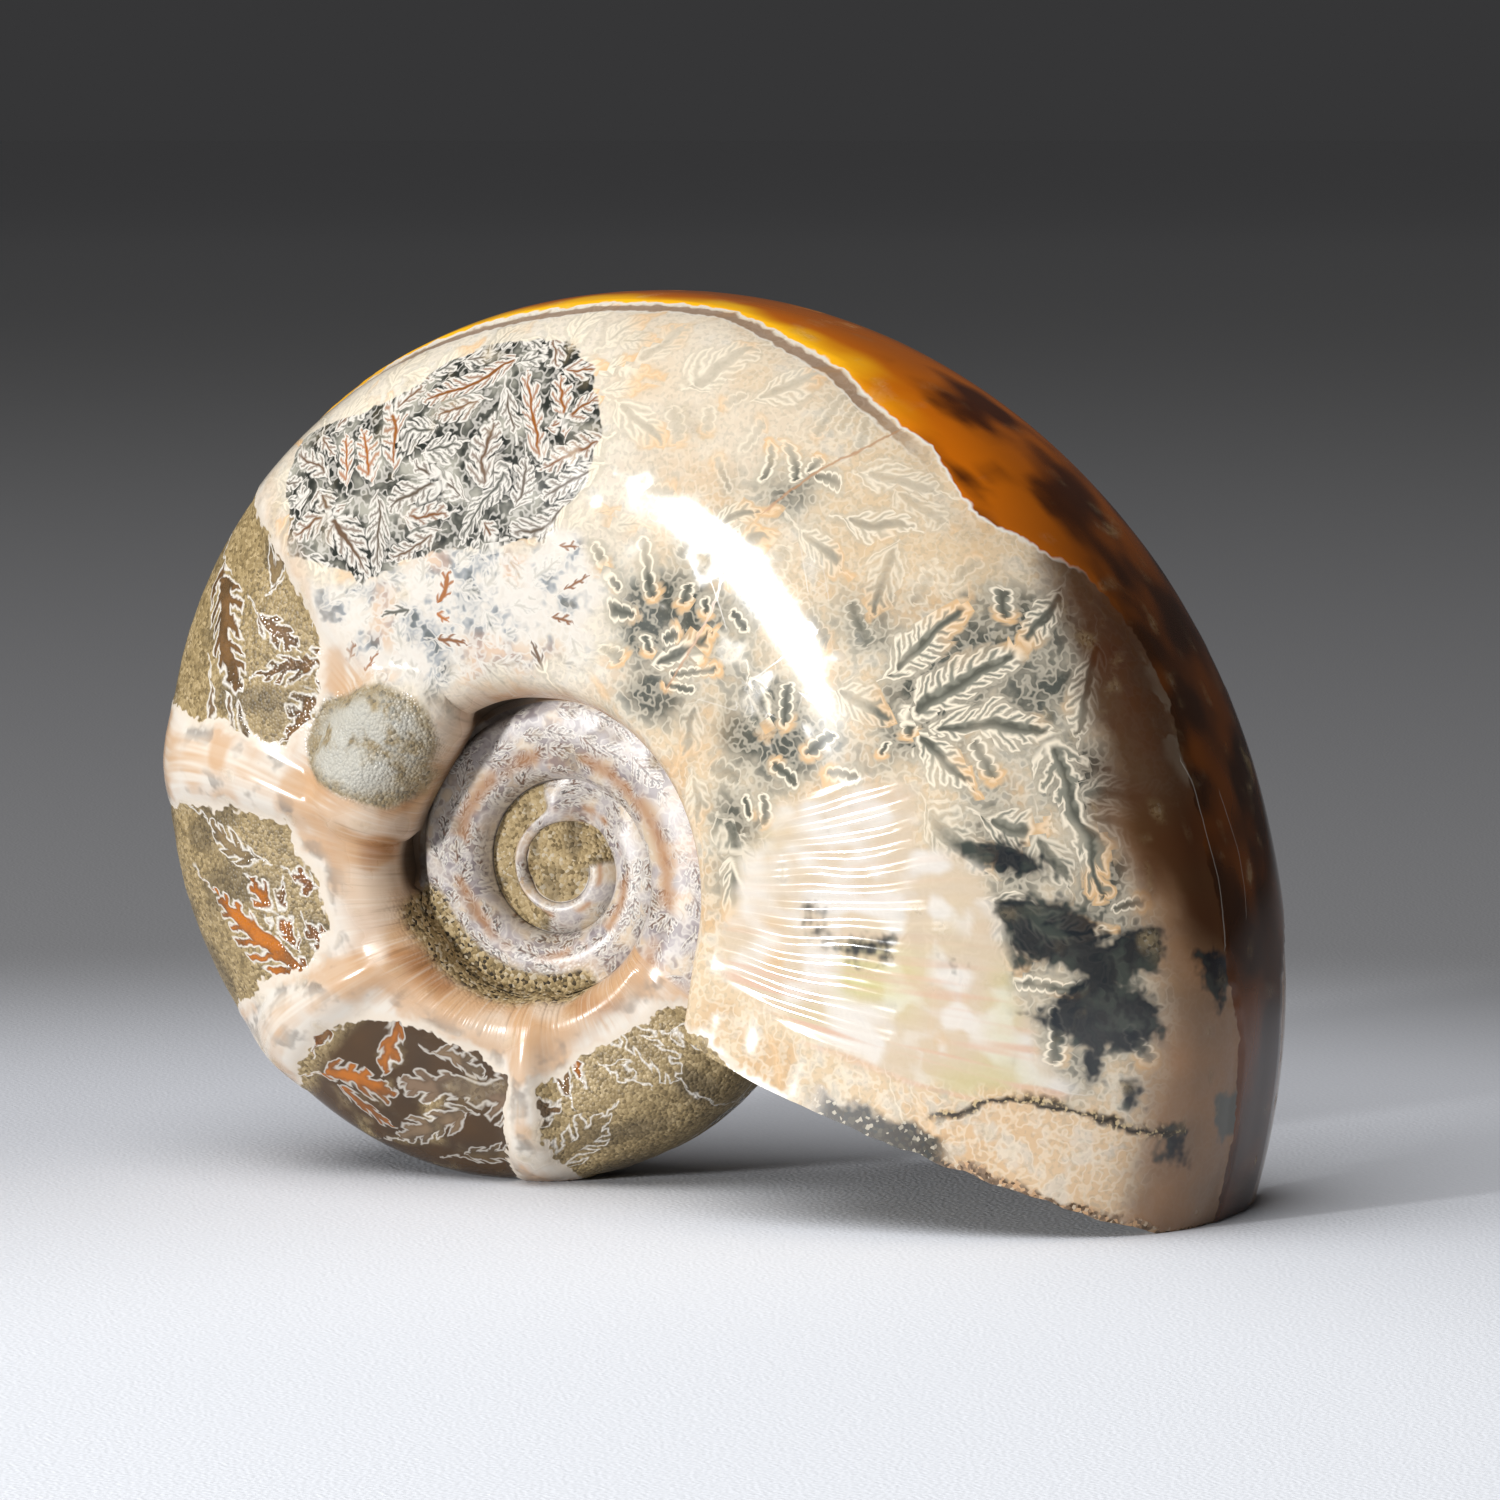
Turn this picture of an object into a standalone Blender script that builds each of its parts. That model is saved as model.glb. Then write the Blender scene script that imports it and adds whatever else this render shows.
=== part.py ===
"""A polished fossil ammonite that stands on the edge of its aperture and on its older whorl.

The shell's plane of symmetry is XZ, +X points towards the body whorl and +Z up.
Angles turn anticlockwise about the coil axis, seen from -Y, and the shell grew clockwise.
A place along the coil is given in whorls, counted back from the aperture.
"""

import math

import bmesh
import bpy
import numpy as np
from mathutils import Vector, noise

# Driving dimensions, in metres, radians and whorls
APERTURE_RADIUS = 0.0720  # coil axis to venter at the aperture
SEAM_RADIUS = 0.0200  # coil axis to umbilical seam at the aperture
HALF_THICKNESS = 0.0225  # at the aperture
APERTURE_ANGLE = math.radians(-26.3)
APERTURE_LEAN = math.radians(-16.8)  # how far the broken edge leans forward towards the umbilicus
OUTER_GROWTH = 1.015  # natural logarithm of the growth of the venter's radius in the last whorl
INNER_GROWTH = 0.648  # the same for the seam, and for all inner whorls
THICKNESS_GROWTH = 0.86
INNER_THICKNESS_GROWTH = 0.55
BODY_SWELL = 0.004  # extra radius of the body chamber, as a share, at SWELL_AT
SWELL_AT = 0.05
SWELL_REACH = 0.07
UMBILICAL_FLARE = 0.10  # extra seam radius at the aperture, as a share, gone by FLARE_REACH
FLARE_REACH = 0.045
UMBILICUS_DROP = 0.00144  # the umbilicus is centred this far below the outer coil
FLOOR_DROP = 0.0309  # coil axis to the surface that the shell stands on
VISIBLE_WHORLS = 2.25
END_FADE = 0.10  # over this many whorls the innermost one sinks into the rock of the core
CORE_RISE = 0.0005  # the core is a low dome
CORE_TOP = 0.75  # its top's radius, as a share of its smallest radius

WIDEST = 0.58  # of the venter's radius, where the whorl is thickest
VENTER_POWER = 2.4
FLANK_POWER = 2.8
FLANK_FALL = 0.05  # how much of the thickness is lost between there and the umbilical shoulder
SEAM_DEPTH = 0.94  # of the inner whorl's half thickness, where the next whorl meets it
STEEP_WALL = 0.18  # width over depth of the umbilical wall, at the aperture
GENTLE_WALL = 0.62  # and from GENTLE_FROM whorls back
GENTLE_FROM = 0.6

RIBS = tuple(math.radians(angle) for angle in (164.5, 210.5, 267.5))
RIB_BENDS = (math.radians(4.0), math.radians(4.0), 0.0)  # forward, BEND_SHARE from the flank's middle
BEND_MIDDLE = 0.60  # of the venter's radius
BEND_SHARE = 0.30
BEND_END = 0.92
RIB_HALF_WIDTH = 0.0017
RIB_HEIGHT = 0.0005
RIB_AT_VENTER = 0.3  # of its height on the flank
RELIEF_FROM = 0.40  # whorls back, where the shell is worn down to ribs and windows
RELIEF_FULL = 0.46
WINDOW_DEPTH = 0.0009
WINDOW_EDGE = 0.0012  # half the width of the slope at its sides
WINDOW_INNER = 0.50  # of the venter's radius
WINDOW_FADE = (0.90, 1.0)  # of the venter's radius, where the windows run out
WINDOWS = tuple(
    (math.radians(first), math.radians(last))
    for first, last in ((131.0, 160.0), (169.0, 205.5), (215.5, 262.5), (272.5, 322.0))
)
LUMP_ANGLE = math.radians(141.0)
LUMP_RADIUS = 0.0172
LUMP_HALF_LENGTH = 0.0072
LUMP_HALF_WIDTH = 0.0056
LUMP_HEIGHT = 0.0027
SEAM_FILL = 0.0013  # rock left in the seam of the umbilicus
SEAM_FILL_ANGLES = (math.radians(180.0), math.radians(300.0))
SEAM_FILL_FADE = 0.3
LEAN_REACH = 0.10  # whorls over which the lean of the aperture fades
CHIPPED = math.radians(0.5)  # how uneven the broken edge is
CHIPS = 260.0  # a metre
RIM_SHARE, RIM_DEPTH = 0.94, 0.0003  # the broken shell's thickness, and how far its edge is worn back
ROCK_RINGS = ((0.84, 0.0024, 1.5), (0.45, 0.0034, 3.0))  # share, depth and roughness of the rock inside
ROCK_DEPTH = 0.0030  # at its middle
ROCK_ROUGHNESS = 0.0003
ROCK_GRAIN = 420.0  # bumps a metre

# How finely the surface is divided
COLUMN_STEP = math.radians(5.0)
RIB_STEP = math.radians(2.8)
VENTER_ROWS = 12
FLANK_ROWS = 4
WALL_ROWS = 3
COVER_ROW = VENTER_ROWS
SEAM_ROW = VENTER_ROWS + FLANK_ROWS + WALL_ROWS

FRONT, BACK = -1, 1


def smooth_step(low, high, value):
    share = np.clip((value - low) / (high - low), 0.0, 1.0)
    return share * share * (3.0 - 2.0 * share)


def outer_radius(whorl):
    grown = OUTER_GROWTH * min(whorl, 1.0) + INNER_GROWTH * max(whorl - 1.0, 0.0)
    swell = 1.0 + BODY_SWELL * math.exp(-(((whorl - SWELL_AT) / SWELL_REACH) ** 2))
    return APERTURE_RADIUS * math.exp(-grown) * swell


def seam_radius(whorl):
    flare = 1.0 + UMBILICAL_FLARE * max(0.0, 1.0 - max(whorl, 0.0) / FLARE_REACH) ** 2
    return SEAM_RADIUS * math.exp(-INNER_GROWTH * whorl) * flare


def half_thickness(whorl):
    grown = THICKNESS_GROWTH * min(whorl, 1.0) + INNER_THICKNESS_GROWTH * max(whorl - 1.0, 0.0)
    return HALF_THICKNESS * math.exp(-grown)


def section(whorl):
    """Half of the whorl's cross-section, as radius and distance from the plane of symmetry.

    It comes as two runs of points: from the venter to the umbilical shoulder, and down the
    umbilical wall to the seam.
    """
    venter, seam, thickness = outer_radius(whorl), seam_radius(whorl), half_thickness(whorl)
    seam_height = SEAM_DEPTH * half_thickness(whorl + 1.0)
    shoulder_height = (1.0 - FLANK_FALL) * thickness
    slope = np.interp(whorl, (0.0, GENTLE_FROM), (STEEP_WALL, GENTLE_WALL))
    shoulder = seam + slope * (shoulder_height - seam_height)
    widest = WIDEST * venter

    turn = np.linspace(0.0, math.pi / 2, 80)
    rounded = np.column_stack(
        (
            widest + (venter - widest) * np.cos(turn) ** (2.0 / VENTER_POWER),
            thickness * np.sin(turn) ** (2.0 / FLANK_POWER),
        )
    )
    inward = np.linspace(0.0, 1.0, 24)[1:]
    flank = np.column_stack(
        (widest + (shoulder - widest) * inward, thickness * (1.0 - FLANK_FALL * inward**2))
    )
    turn = np.linspace(0.0, math.pi / 2, 16)
    wall = np.column_stack(
        (
            shoulder - (shoulder - seam) * np.sin(turn),
            seam_height + (shoulder_height - seam_height) * np.cos(turn),
        )
    )
    return np.vstack((rounded, flank)), wall


def spread(points, count, start=0.0, end=1.0):
    """count points, evenly spaced along part of a run of points, given as shares of its length."""
    steps = np.hypot(*np.diff(points, axis=0).T)
    along = np.concatenate(([0.0], np.cumsum(steps))) / steps.sum()
    wanted = np.linspace(start, end, count)
    return np.column_stack([np.interp(wanted, along, column) for column in points.T])


def share_at_radius(points, radius):
    """How far along a run of points, as a share of its length, its radius falls to this one."""
    steps = np.hypot(*np.diff(points, axis=0).T)
    along = np.concatenate(([0.0], np.cumsum(steps))) / steps.sum()
    return float(np.interp(-radius, -points[:, 0], along))


def section_rows(whorl):
    """The section at one point for each row: venter, cover line, shoulder, seam."""
    flank, wall = section(whorl)
    cover = share_at_radius(flank, seam_radius(whorl - 1.0))
    return np.vstack(
        (
            spread(flank, VENTER_ROWS + 1, 0.0, cover),
            spread(flank, FLANK_ROWS + 1, cover, 1.0)[1:],
            spread(wall, WALL_ROWS + 1)[1:],
        )
    )


def outward(rows):
    """The outward direction at each row, in the section's own plane."""
    along = np.gradient(rows, axis=0)
    along[0] = (0.0, 1.0)
    facing = np.column_stack((along[:, 1], -along[:, 0]))
    return facing / np.linalg.norm(facing, axis=1)[:, None]


def rock(place, scale=ROCK_GRAIN):
    return noise.noise(Vector(place) * scale) + 0.5 * noise.noise(Vector(place) * scale * 2.1)


def bend(angle, share):
    """How far the growth lines swing forward there, away from the middle of the flank."""
    amount = np.interp(angle, (2.0 * RIBS[0] - RIBS[1], *RIBS), (0.0, *RIB_BENDS))
    return amount * ((min(share, BEND_END) - BEND_MIDDLE) / BEND_SHARE) ** 2


def relief(angle, whorl, radius, side):
    """Height of the carved and natural relief above the smooth section, on the growth line of an angle."""
    share = radius / outer_radius(whorl)
    height = 0.0
    if whorl < 1.0:
        crest = RIB_HEIGHT * smooth_step(RELIEF_FROM, RELIEF_FULL, whorl)
        crest *= 1.0 - (1.0 - RIB_AT_VENTER) * smooth_step(0.80, 1.0, share)
        for rib in RIBS:
            apart = (angle - rib) * radius / RIB_HALF_WIDTH
            height += crest * math.exp(-apart * apart)
        for first, last in WINDOWS:
            edge = WINDOW_EDGE / radius
            along = smooth_step(first - edge, first + edge, angle)
            along *= 1.0 - smooth_step(last - edge, last + edge, angle)
            across = smooth_step(WINDOW_INNER - 0.03, WINDOW_INNER + 0.05, share)
            across *= 1.0 - 0.9 * smooth_step(*WINDOW_FADE, share)
            height -= WINDOW_DEPTH * along * across
    if side == FRONT and whorl < 1.0:
        along = (angle - LUMP_ANGLE) * LUMP_RADIUS / LUMP_HALF_LENGTH
        across = (radius - LUMP_RADIUS) / LUMP_HALF_WIDTH
        reach = along * along + across * across
        height += LUMP_HEIGHT * math.sqrt(max(0.0, 1.0 - reach * 0.7)) if reach < 1.4 else 0.0
    return height


def seam_fill(angle):
    """How far the rock in the seam stands above it, at an angle."""
    first, last = SEAM_FILL_ANGLES
    rise = smooth_step(first, first + SEAM_FILL_FADE, angle)
    return SEAM_FILL * rise * (1.0 - smooth_step(last - SEAM_FILL_FADE, last, angle))


def column_angles():
    """Where the columns stand in one whorl, from 0 at the aperture: closer together at the ribs."""
    at_ribs = [rib - APERTURE_ANGLE + k * RIB_STEP for rib in RIBS for k in (-1, 0, 1)]
    count = round(2.0 * math.pi / COLUMN_STEP)
    regular = [k * 2.0 * math.pi / count for k in range(count)]
    kept = [a for a in regular if min(abs(a - b) for b in at_ribs) > 0.4 * RIB_STEP]
    return sorted(kept + at_ribs)


def lean(whorl, share):
    """How far the growth lines lean forward there: at the aperture, and where it meets the older whorl."""
    fade = max(0.0, 1.0 - whorl / LEAN_REACH) ** 2
    inner_fade = max(0.0, 1.0 - abs(whorl - 1.0) / LEAN_REACH) ** 2
    seam_share = SEAM_RADIUS / APERTURE_RADIUS
    return APERTURE_LEAN * (fade * (1.0 - share) ** 2 + inner_fade * (1.0 - seam_share) ** 2)


def place(angle, radius, across, whorl):
    """A point of the shell. The umbilicus is centred a little lower than the outer coil."""
    venter = outer_radius(whorl)
    inner = seam_radius(whorl) + (seam_radius(whorl - 1.0) - seam_radius(whorl)) * min(whorl, 1.0)
    drop = UMBILICUS_DROP * smooth_step(0.0, 1.0, (venter - radius) / (venter - inner))
    x, z = radius * math.cos(angle), radius * math.sin(angle) - drop
    return [x, across, z]


def column(index, angles, side):
    """One column of points over a flank, from the venter to the seam."""
    turned = angles[index % len(angles)] + 2.0 * math.pi * (index // len(angles))
    whorl = turned / (2.0 * math.pi)
    angle = APERTURE_ANGLE + turned
    rows = section_rows(whorl)
    facing = outward(rows)
    sinking = smooth_step(VISIBLE_WHORLS - END_FADE, VISIBLE_WHORLS, whorl)
    points = []
    for row, (radius, across) in enumerate(rows):
        share = radius / outer_radius(whorl)
        leant = angle + lean(whorl, share) + (bend(angle, share) if whorl < 1.0 else 0.0)
        if index == 0 and row < SEAM_ROW:
            leant += CHIPPED * noise.noise(Vector((radius * CHIPS, side * 7.0, 3.0)))
        height = relief(angle, whorl, radius, side) if row < SEAM_ROW else 0.0
        across -= (across - rows[SEAM_ROW, 1]) * sinking
        if row == SEAM_ROW:
            across += seam_fill(leant)
        if row >= COVER_ROW and whorl > 1.0:
            spot = (radius * math.cos(angle), side, radius * math.sin(angle))
            height += 0.5 * ROCK_ROUGHNESS * rock(spot)
        radius += facing[row, 0] * height
        across += facing[row, 1] * height
        points.append(place(leant, radius, across * side, whorl))
        if row == 0:
            points[0][1] = 0.0
    return points


class Shell:
    """The shell's mesh, whose vertices are known by side, column and row."""

    def __init__(self):
        self.mesh = bmesh.new()
        self.angles = column_angles()
        self.whorl_columns = len(self.angles)
        self.last_column = round(VISIBLE_WHORLS * self.whorl_columns)
        self.vertices = {}

    def key(self, side, index, row):
        """The inner whorl's cover line is the next whorl's seam, and both flanks share the venter."""
        if row == 0:
            side = FRONT
        if index >= self.whorl_columns and row == COVER_ROW:
            return self.key(side, index - self.whorl_columns, SEAM_ROW)
        return side, index, row

    def vertex(self, side, index, row):
        return self.vertices[self.key(side, index, row)]

    def face(self, corners, side):
        self.mesh.faces.new(corners if side == FRONT else corners[::-1])

    def add_points(self):
        for side in (FRONT, BACK):
            for index in range(self.last_column + 1):
                first = 0 if index <= self.whorl_columns else COVER_ROW
                points = column(index, self.angles, side)
                for row in range(first, SEAM_ROW + 1):
                    key = self.key(side, index, row)
                    if key not in self.vertices:
                        self.vertices[key] = self.mesh.verts.new(points[row])

    def add_flanks(self):
        for side in (FRONT, BACK):
            for index in range(self.last_column):
                first = 0 if index < self.whorl_columns else COVER_ROW
                for row in range(first, SEAM_ROW):
                    corners = [
                        self.vertex(side, index, row),
                        self.vertex(side, index + 1, row),
                        self.vertex(side, index + 1, row + 1),
                        self.vertex(side, index, row + 1),
                    ]
                    self.face(corners, side)

    def ring(self, loop, centre, share, shift, roughness):
        """A copy of a loop, drawn in towards a centre and moved by shift, with a rough surface."""
        made = []
        for vertex in loop:
            point = centre + (vertex.co - centre) * share + shift
            made.append(self.mesh.verts.new(point + shift.normalized() * roughness * rock(point)))
        return made

    def bridge(self, outer, inner, side):
        for k in range(len(outer)):
            n = (k + 1) % len(outer)
            self.face([outer[k], outer[n], inner[n], inner[k]], side)

    def fan(self, loop, centre, side):
        tip = self.mesh.verts.new(centre)
        for k in range(len(loop)):
            self.face([loop[k], loop[(k + 1) % len(loop)], tip], side)

    def close_aperture(self):
        """The broken end: a rim as thick as the shell, and rough rock set back inside it."""
        older = self.whorl_columns
        loop = [self.vertex(FRONT, 0, row) for row in range(0, SEAM_ROW + 1)]
        loop += [self.vertex(FRONT, older, row) for row in range(COVER_ROW - 1, -1, -1)]
        loop += [self.vertex(BACK, older, row) for row in range(1, COVER_ROW + 1)]
        loop += [self.vertex(BACK, 0, row) for row in range(SEAM_ROW - 1, 0, -1)]
        angle = APERTURE_ANGLE + lean(0.0, WIDEST)
        middle = Vector(place(angle, 1.08 * WIDEST * APERTURE_RADIUS, 0.0, 0.0))
        back = Vector((-math.sin(angle), 0.0, math.cos(angle)))
        rings = [loop, self.ring(loop, middle, RIM_SHARE, back * RIM_DEPTH, 0.4 * ROCK_ROUGHNESS)]
        for share, depth, roughness in ROCK_RINGS:
            rings.append(self.ring(loop, middle, share, back * depth, roughness * ROCK_ROUGHNESS))
        for outer, inner in zip(rings, rings[1:]):
            self.bridge(outer, inner, FRONT)
        self.fan(rings[-1], middle + back * ROCK_DEPTH, FRONT)

    def close_core(self, side):
        """The middle of the umbilicus, filled with a low dome of rock."""
        last, first = self.last_column, self.last_column - self.whorl_columns
        loop = [self.vertex(side, index, SEAM_ROW) for index in range(first, last + 1)]
        loop += [self.vertex(side, last, row) for row in range(SEAM_ROW - 1, COVER_ROW, -1)]
        middle = sum((vertex.co for vertex in loop), Vector()) / len(loop)
        reach = min((vertex.co - middle).length for vertex in loop)
        dome = []
        for vertex in loop:
            away = vertex.co - middle
            point = middle + away * (CORE_TOP * reach / away.length)
            point.y = middle.y + side * (CORE_RISE + 0.5 * ROCK_ROUGHNESS * rock(point))
            dome.append(self.mesh.verts.new(point))
        self.bridge(loop, dome, side)
        self.fan(dome, middle + Vector((0.0, side * CORE_RISE, 0.0)), side)

    def stand(self):
        """Cuts the underside level where it touches the ground, and puts the origin there, mid-length."""
        for vertex in self.mesh.verts:
            vertex.co.z = max(vertex.co.z, -FLOOR_DROP) + FLOOR_DROP
        ends = [vertex.co.x for vertex in self.mesh.verts]
        middle = (min(ends) + max(ends)) / 2.0
        bmesh.ops.translate(self.mesh, verts=self.mesh.verts, vec=(-middle, 0.0, 0.0))


def shell_mesh():
    shell = Shell()
    shell.add_points()
    shell.add_flanks()
    shell.close_aperture()
    for side in (FRONT, BACK):
        shell.close_core(side)
    shell.stand()
    bmesh.ops.recalc_face_normals(shell.mesh, faces=shell.mesh.faces)
    bmesh.ops.triangulate(shell.mesh, faces=shell.mesh.faces)
    mesh = bpy.data.meshes.new("ammonite")
    shell.mesh.to_mesh(mesh)
    shell.mesh.free()
    return mesh


def polished_fossil():
    material = bpy.data.materials.new("polished_fossil")
    material.use_nodes = True
    surface = material.node_tree.nodes["Principled BSDF"]
    surface.inputs["Base Color"].default_value = (0.56, 0.44, 0.30, 1.0)
    surface.inputs["Roughness"].default_value = 0.18
    surface.inputs["Metallic"].default_value = 0.0
    return material


def clear_scene():
    for thing in list(bpy.data.objects):
        bpy.data.objects.remove(thing, do_unlink=True)


def main():
    clear_scene()
    collection = bpy.data.collections.new("fossil_ammonite")
    bpy.context.scene.collection.children.link(collection)
    mesh = shell_mesh()
    mesh.materials.append(polished_fossil())
    mesh.shade_smooth()
    mesh.set_sharp_from_angle(angle=math.radians(38.0))
    collection.objects.link(bpy.data.objects.new("ammonite", mesh))


main()
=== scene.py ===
"""A polished fossil ammonite on a pale floor: its fine surface and material, camera and light.

Everything is in metres, in the frame of the CAD model. Angles turn anticlockwise about the coil
axis, seen from -Y, and the shell grew clockwise. A place on a flank is given by the angle of its
growth line and by its share of the venter's radius there.
"""

import math
import random

import bpy
import numpy as np
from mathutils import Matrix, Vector, noise


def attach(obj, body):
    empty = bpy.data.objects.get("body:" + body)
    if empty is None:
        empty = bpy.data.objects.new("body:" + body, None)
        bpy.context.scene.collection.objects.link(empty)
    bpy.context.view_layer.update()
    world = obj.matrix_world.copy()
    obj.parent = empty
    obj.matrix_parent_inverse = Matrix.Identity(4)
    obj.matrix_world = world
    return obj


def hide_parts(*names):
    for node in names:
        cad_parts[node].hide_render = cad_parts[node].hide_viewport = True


MM = 0.001
FULL_TURN = 2.0 * math.pi
FRONT, BACK = -1, 1

# The shell's form, as in the CAD model: metres, radians, and whorls counted from the aperture
APERTURE_RADIUS = 0.0720  # of the venter, the shell's outer edge
SEAM_RADIUS = 0.0200  # where the whorl's wall meets the next whorl
HALF_THICKNESS = 0.0225
APERTURE_ANGLE = math.radians(-26.3)
OUTER_GROWTH = 1.015  # natural logarithm of the growth in one whorl
INNER_GROWTH = 0.648
THICKNESS_GROWTH = 0.86
INNER_THICKNESS_GROWTH = 0.55
BODY_SWELL = 0.004
SWELL_AT = 0.05
SWELL_REACH = 0.07
UMBILICAL_FLARE = 0.10
FLARE_REACH = 0.045
UMBILICUS_DROP = 0.00144  # the umbilicus lies this much below the outer coil's centre
FLOOR_DROP = 0.0309  # and the floor this much
COIL_AXIS_X = -0.01326  # in the frame, which is centred on the shell's length
VISIBLE_WHORLS = 2.25
END_FADE = 0.10

# The whorl's cross-section, in shares of the venter's radius and of the half thickness
WIDEST = 0.58
VENTER_POWER = 2.4
FLANK_POWER = 2.8
FLANK_FALL = 0.05
SEAM_DEPTH = 0.94
STEEP_WALL = 0.18
GENTLE_WALL = 0.62
GENTLE_FROM = 0.6

# The growth lines' lean at the aperture, and their swing near the ribs
APERTURE_LEAN = math.radians(-16.8)
LEAN_REACH = 0.10
RIBS = tuple(math.radians(angle) for angle in (164.5, 210.5, 267.5))
RIB_BENDS = (math.radians(4.0), math.radians(4.0), 0.0)
BEND_MIDDLE = 0.60
BEND_SHARE = 0.30
BEND_END = 0.92

# Ribs, the windows ground between them, and the lump of rock on the shoulder
RIB_HALF_WIDTH = 0.0017
RIB_HEIGHT = 0.0005
RIB_AT_VENTER = 0.3
RIB_FALLS = (0.80, 1.0)
RELIEF_FROM = 0.40
RELIEF_FULL = 0.46
WINDOWS = tuple(
    (math.radians(first), math.radians(last))
    for first, last in ((131.0, 160.0), (169.0, 205.5), (215.5, 262.5), (272.5, 322.0))
)
WINDOW_DEPTH = 0.0009
WINDOW_EDGE = 0.0012
WINDOW_INNER = (0.47, 0.55)
WINDOW_FADE = (0.90, 1.0)
WINDOW_FADED = 0.9
LUMP_ANGLE = math.radians(141.0)
LUMP_RADIUS = 0.0172
LUMP_HALF_LENGTH = 0.0072
LUMP_HALF_WIDTH = 0.0056
LUMP_HEIGHT = 0.0027
LUMP_EDGE = 1.4
LUMP_ROUNDING = 0.7

# The rock in the seam, and in the middle of the umbilicus with the print of the innermost whorls
SEAM_FILL = 0.0013
SEAM_FILL_ANGLES = (math.radians(180.0), math.radians(300.0))
SEAM_FILL_FADE = 0.3
PRINTED_WHORLS = 3.5
PRINT_START = 0.10
PRINT_END = (3.05, 3.25)  # where the print gives way to plain sandstone
PRINT_ROCK = (2.33, 2.43, 2.66, 2.80)  # where sandstone lies beside the print
PRINT_ROCK_ROWS = (0.62, 0.42)
PRINT_HEIGHT = 0.0007
CORE_LEVEL = 0.0040
CORE_CREST = 0.0004
CORE_RINGS = (0.25, 0.5, 0.75)
CORE_MIDDLE = (0.0007, math.radians(240.0))  # the last point of the print, from the coil's centre

# The broken edge of the aperture, and the rough rock set back inside it
CHIPPED = math.radians(0.5)
CHIP_REACH = math.radians(3.0)
CHIPS = 420.0  # bumps a metre
CHIP_SIDES = 7.0  # how far apart the two sides are in the noise
CHIP_SEED = 3.0
BROKEN_SHELL = (0.02, 0.045)
APERTURE_MIDDLE = 1.08 * WIDEST
EDGE_RINGS = tuple(1.0 - 0.01 * k for k in range(1, 8))  # shares of the way to the edge
APERTURE_RINGS = EDGE_RINGS + tuple(0.91 - 0.026 * k for k in range(34))
# How deep the rock lies, at shares of the way from the aperture's middle to its edge
ROCK_DEPTHS = ((0.0, 0.45, 0.84, 0.94, 1.0), (0.0030, 0.0034, 0.0024, 0.0003, 0.0))
ROCK_FROM = (1.0, 0.85)
ROCK_ROUGHNESS = 0.0006
ROCK_GRAIN = 420.0  # bumps a metre, with finer ones on them
ROCK_FINER = 2.3
ROCK_FINE_SHARE = 0.5
ROCK_FINE_SEED = 5.0

# How finely the surface is divided
COLUMN_WIDTH = 0.60 * MM  # on the middle of the flank
RIBBED_COLUMN_WIDTH = 0.42 * MM  # where the pearly growth lines are
RIBBED_UNTIL = math.radians(54.0)
VENTER_ROWS = 50
FLANK_ROWS = 14
WALL_ROWS = 12
# How many points trace a section's curves before the rows are spread over them
VENTER_POINTS = 240
RUN_POINTS = 40
TURN_POINTS = 2000
DENSEST_SHARE = 1.2 * WIDEST
COVER_ROW = VENTER_ROWS
SEAM_ROW = VENTER_ROWS + FLANK_ROWS + WALL_ROWS

# The photograph's camera, fitted to the coil's centre
CAMERA_AZIMUTH = 24.5
CAMERA_ELEVATION = 5.8
CAMERA_DISTANCE = 0.6912
FRAME_PIXELS = 1500.0
FOCAL_PIXELS = 7350.0
AXIS_PIXEL = (580.5, 849.0)  # where the coil's centre appears in the photograph
SENSOR = 36.0
CAMERA_CLIP = (0.01, 20.0)


def smooth_step(low, high, value):
    share = np.clip((value - low) / (high - low), 0.0, 1.0)
    return share * share * (3.0 - 2.0 * share)


def outer_radius(whorl):
    grown = OUTER_GROWTH * min(whorl, 1.0) + INNER_GROWTH * max(whorl - 1.0, 0.0)
    swell = 1.0 + BODY_SWELL * math.exp(-(((whorl - SWELL_AT) / SWELL_REACH) ** 2))
    return APERTURE_RADIUS * math.exp(-grown) * swell


def seam_radius(whorl):
    flare = 1.0 + UMBILICAL_FLARE * max(0.0, 1.0 - max(whorl, 0.0) / FLARE_REACH) ** 2
    return SEAM_RADIUS * math.exp(-INNER_GROWTH * whorl) * flare


def half_thickness(whorl):
    grown = THICKNESS_GROWTH * min(whorl, 1.0) + INNER_THICKNESS_GROWTH * max(whorl - 1.0, 0.0)
    return HALF_THICKNESS * math.exp(-grown)


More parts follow.
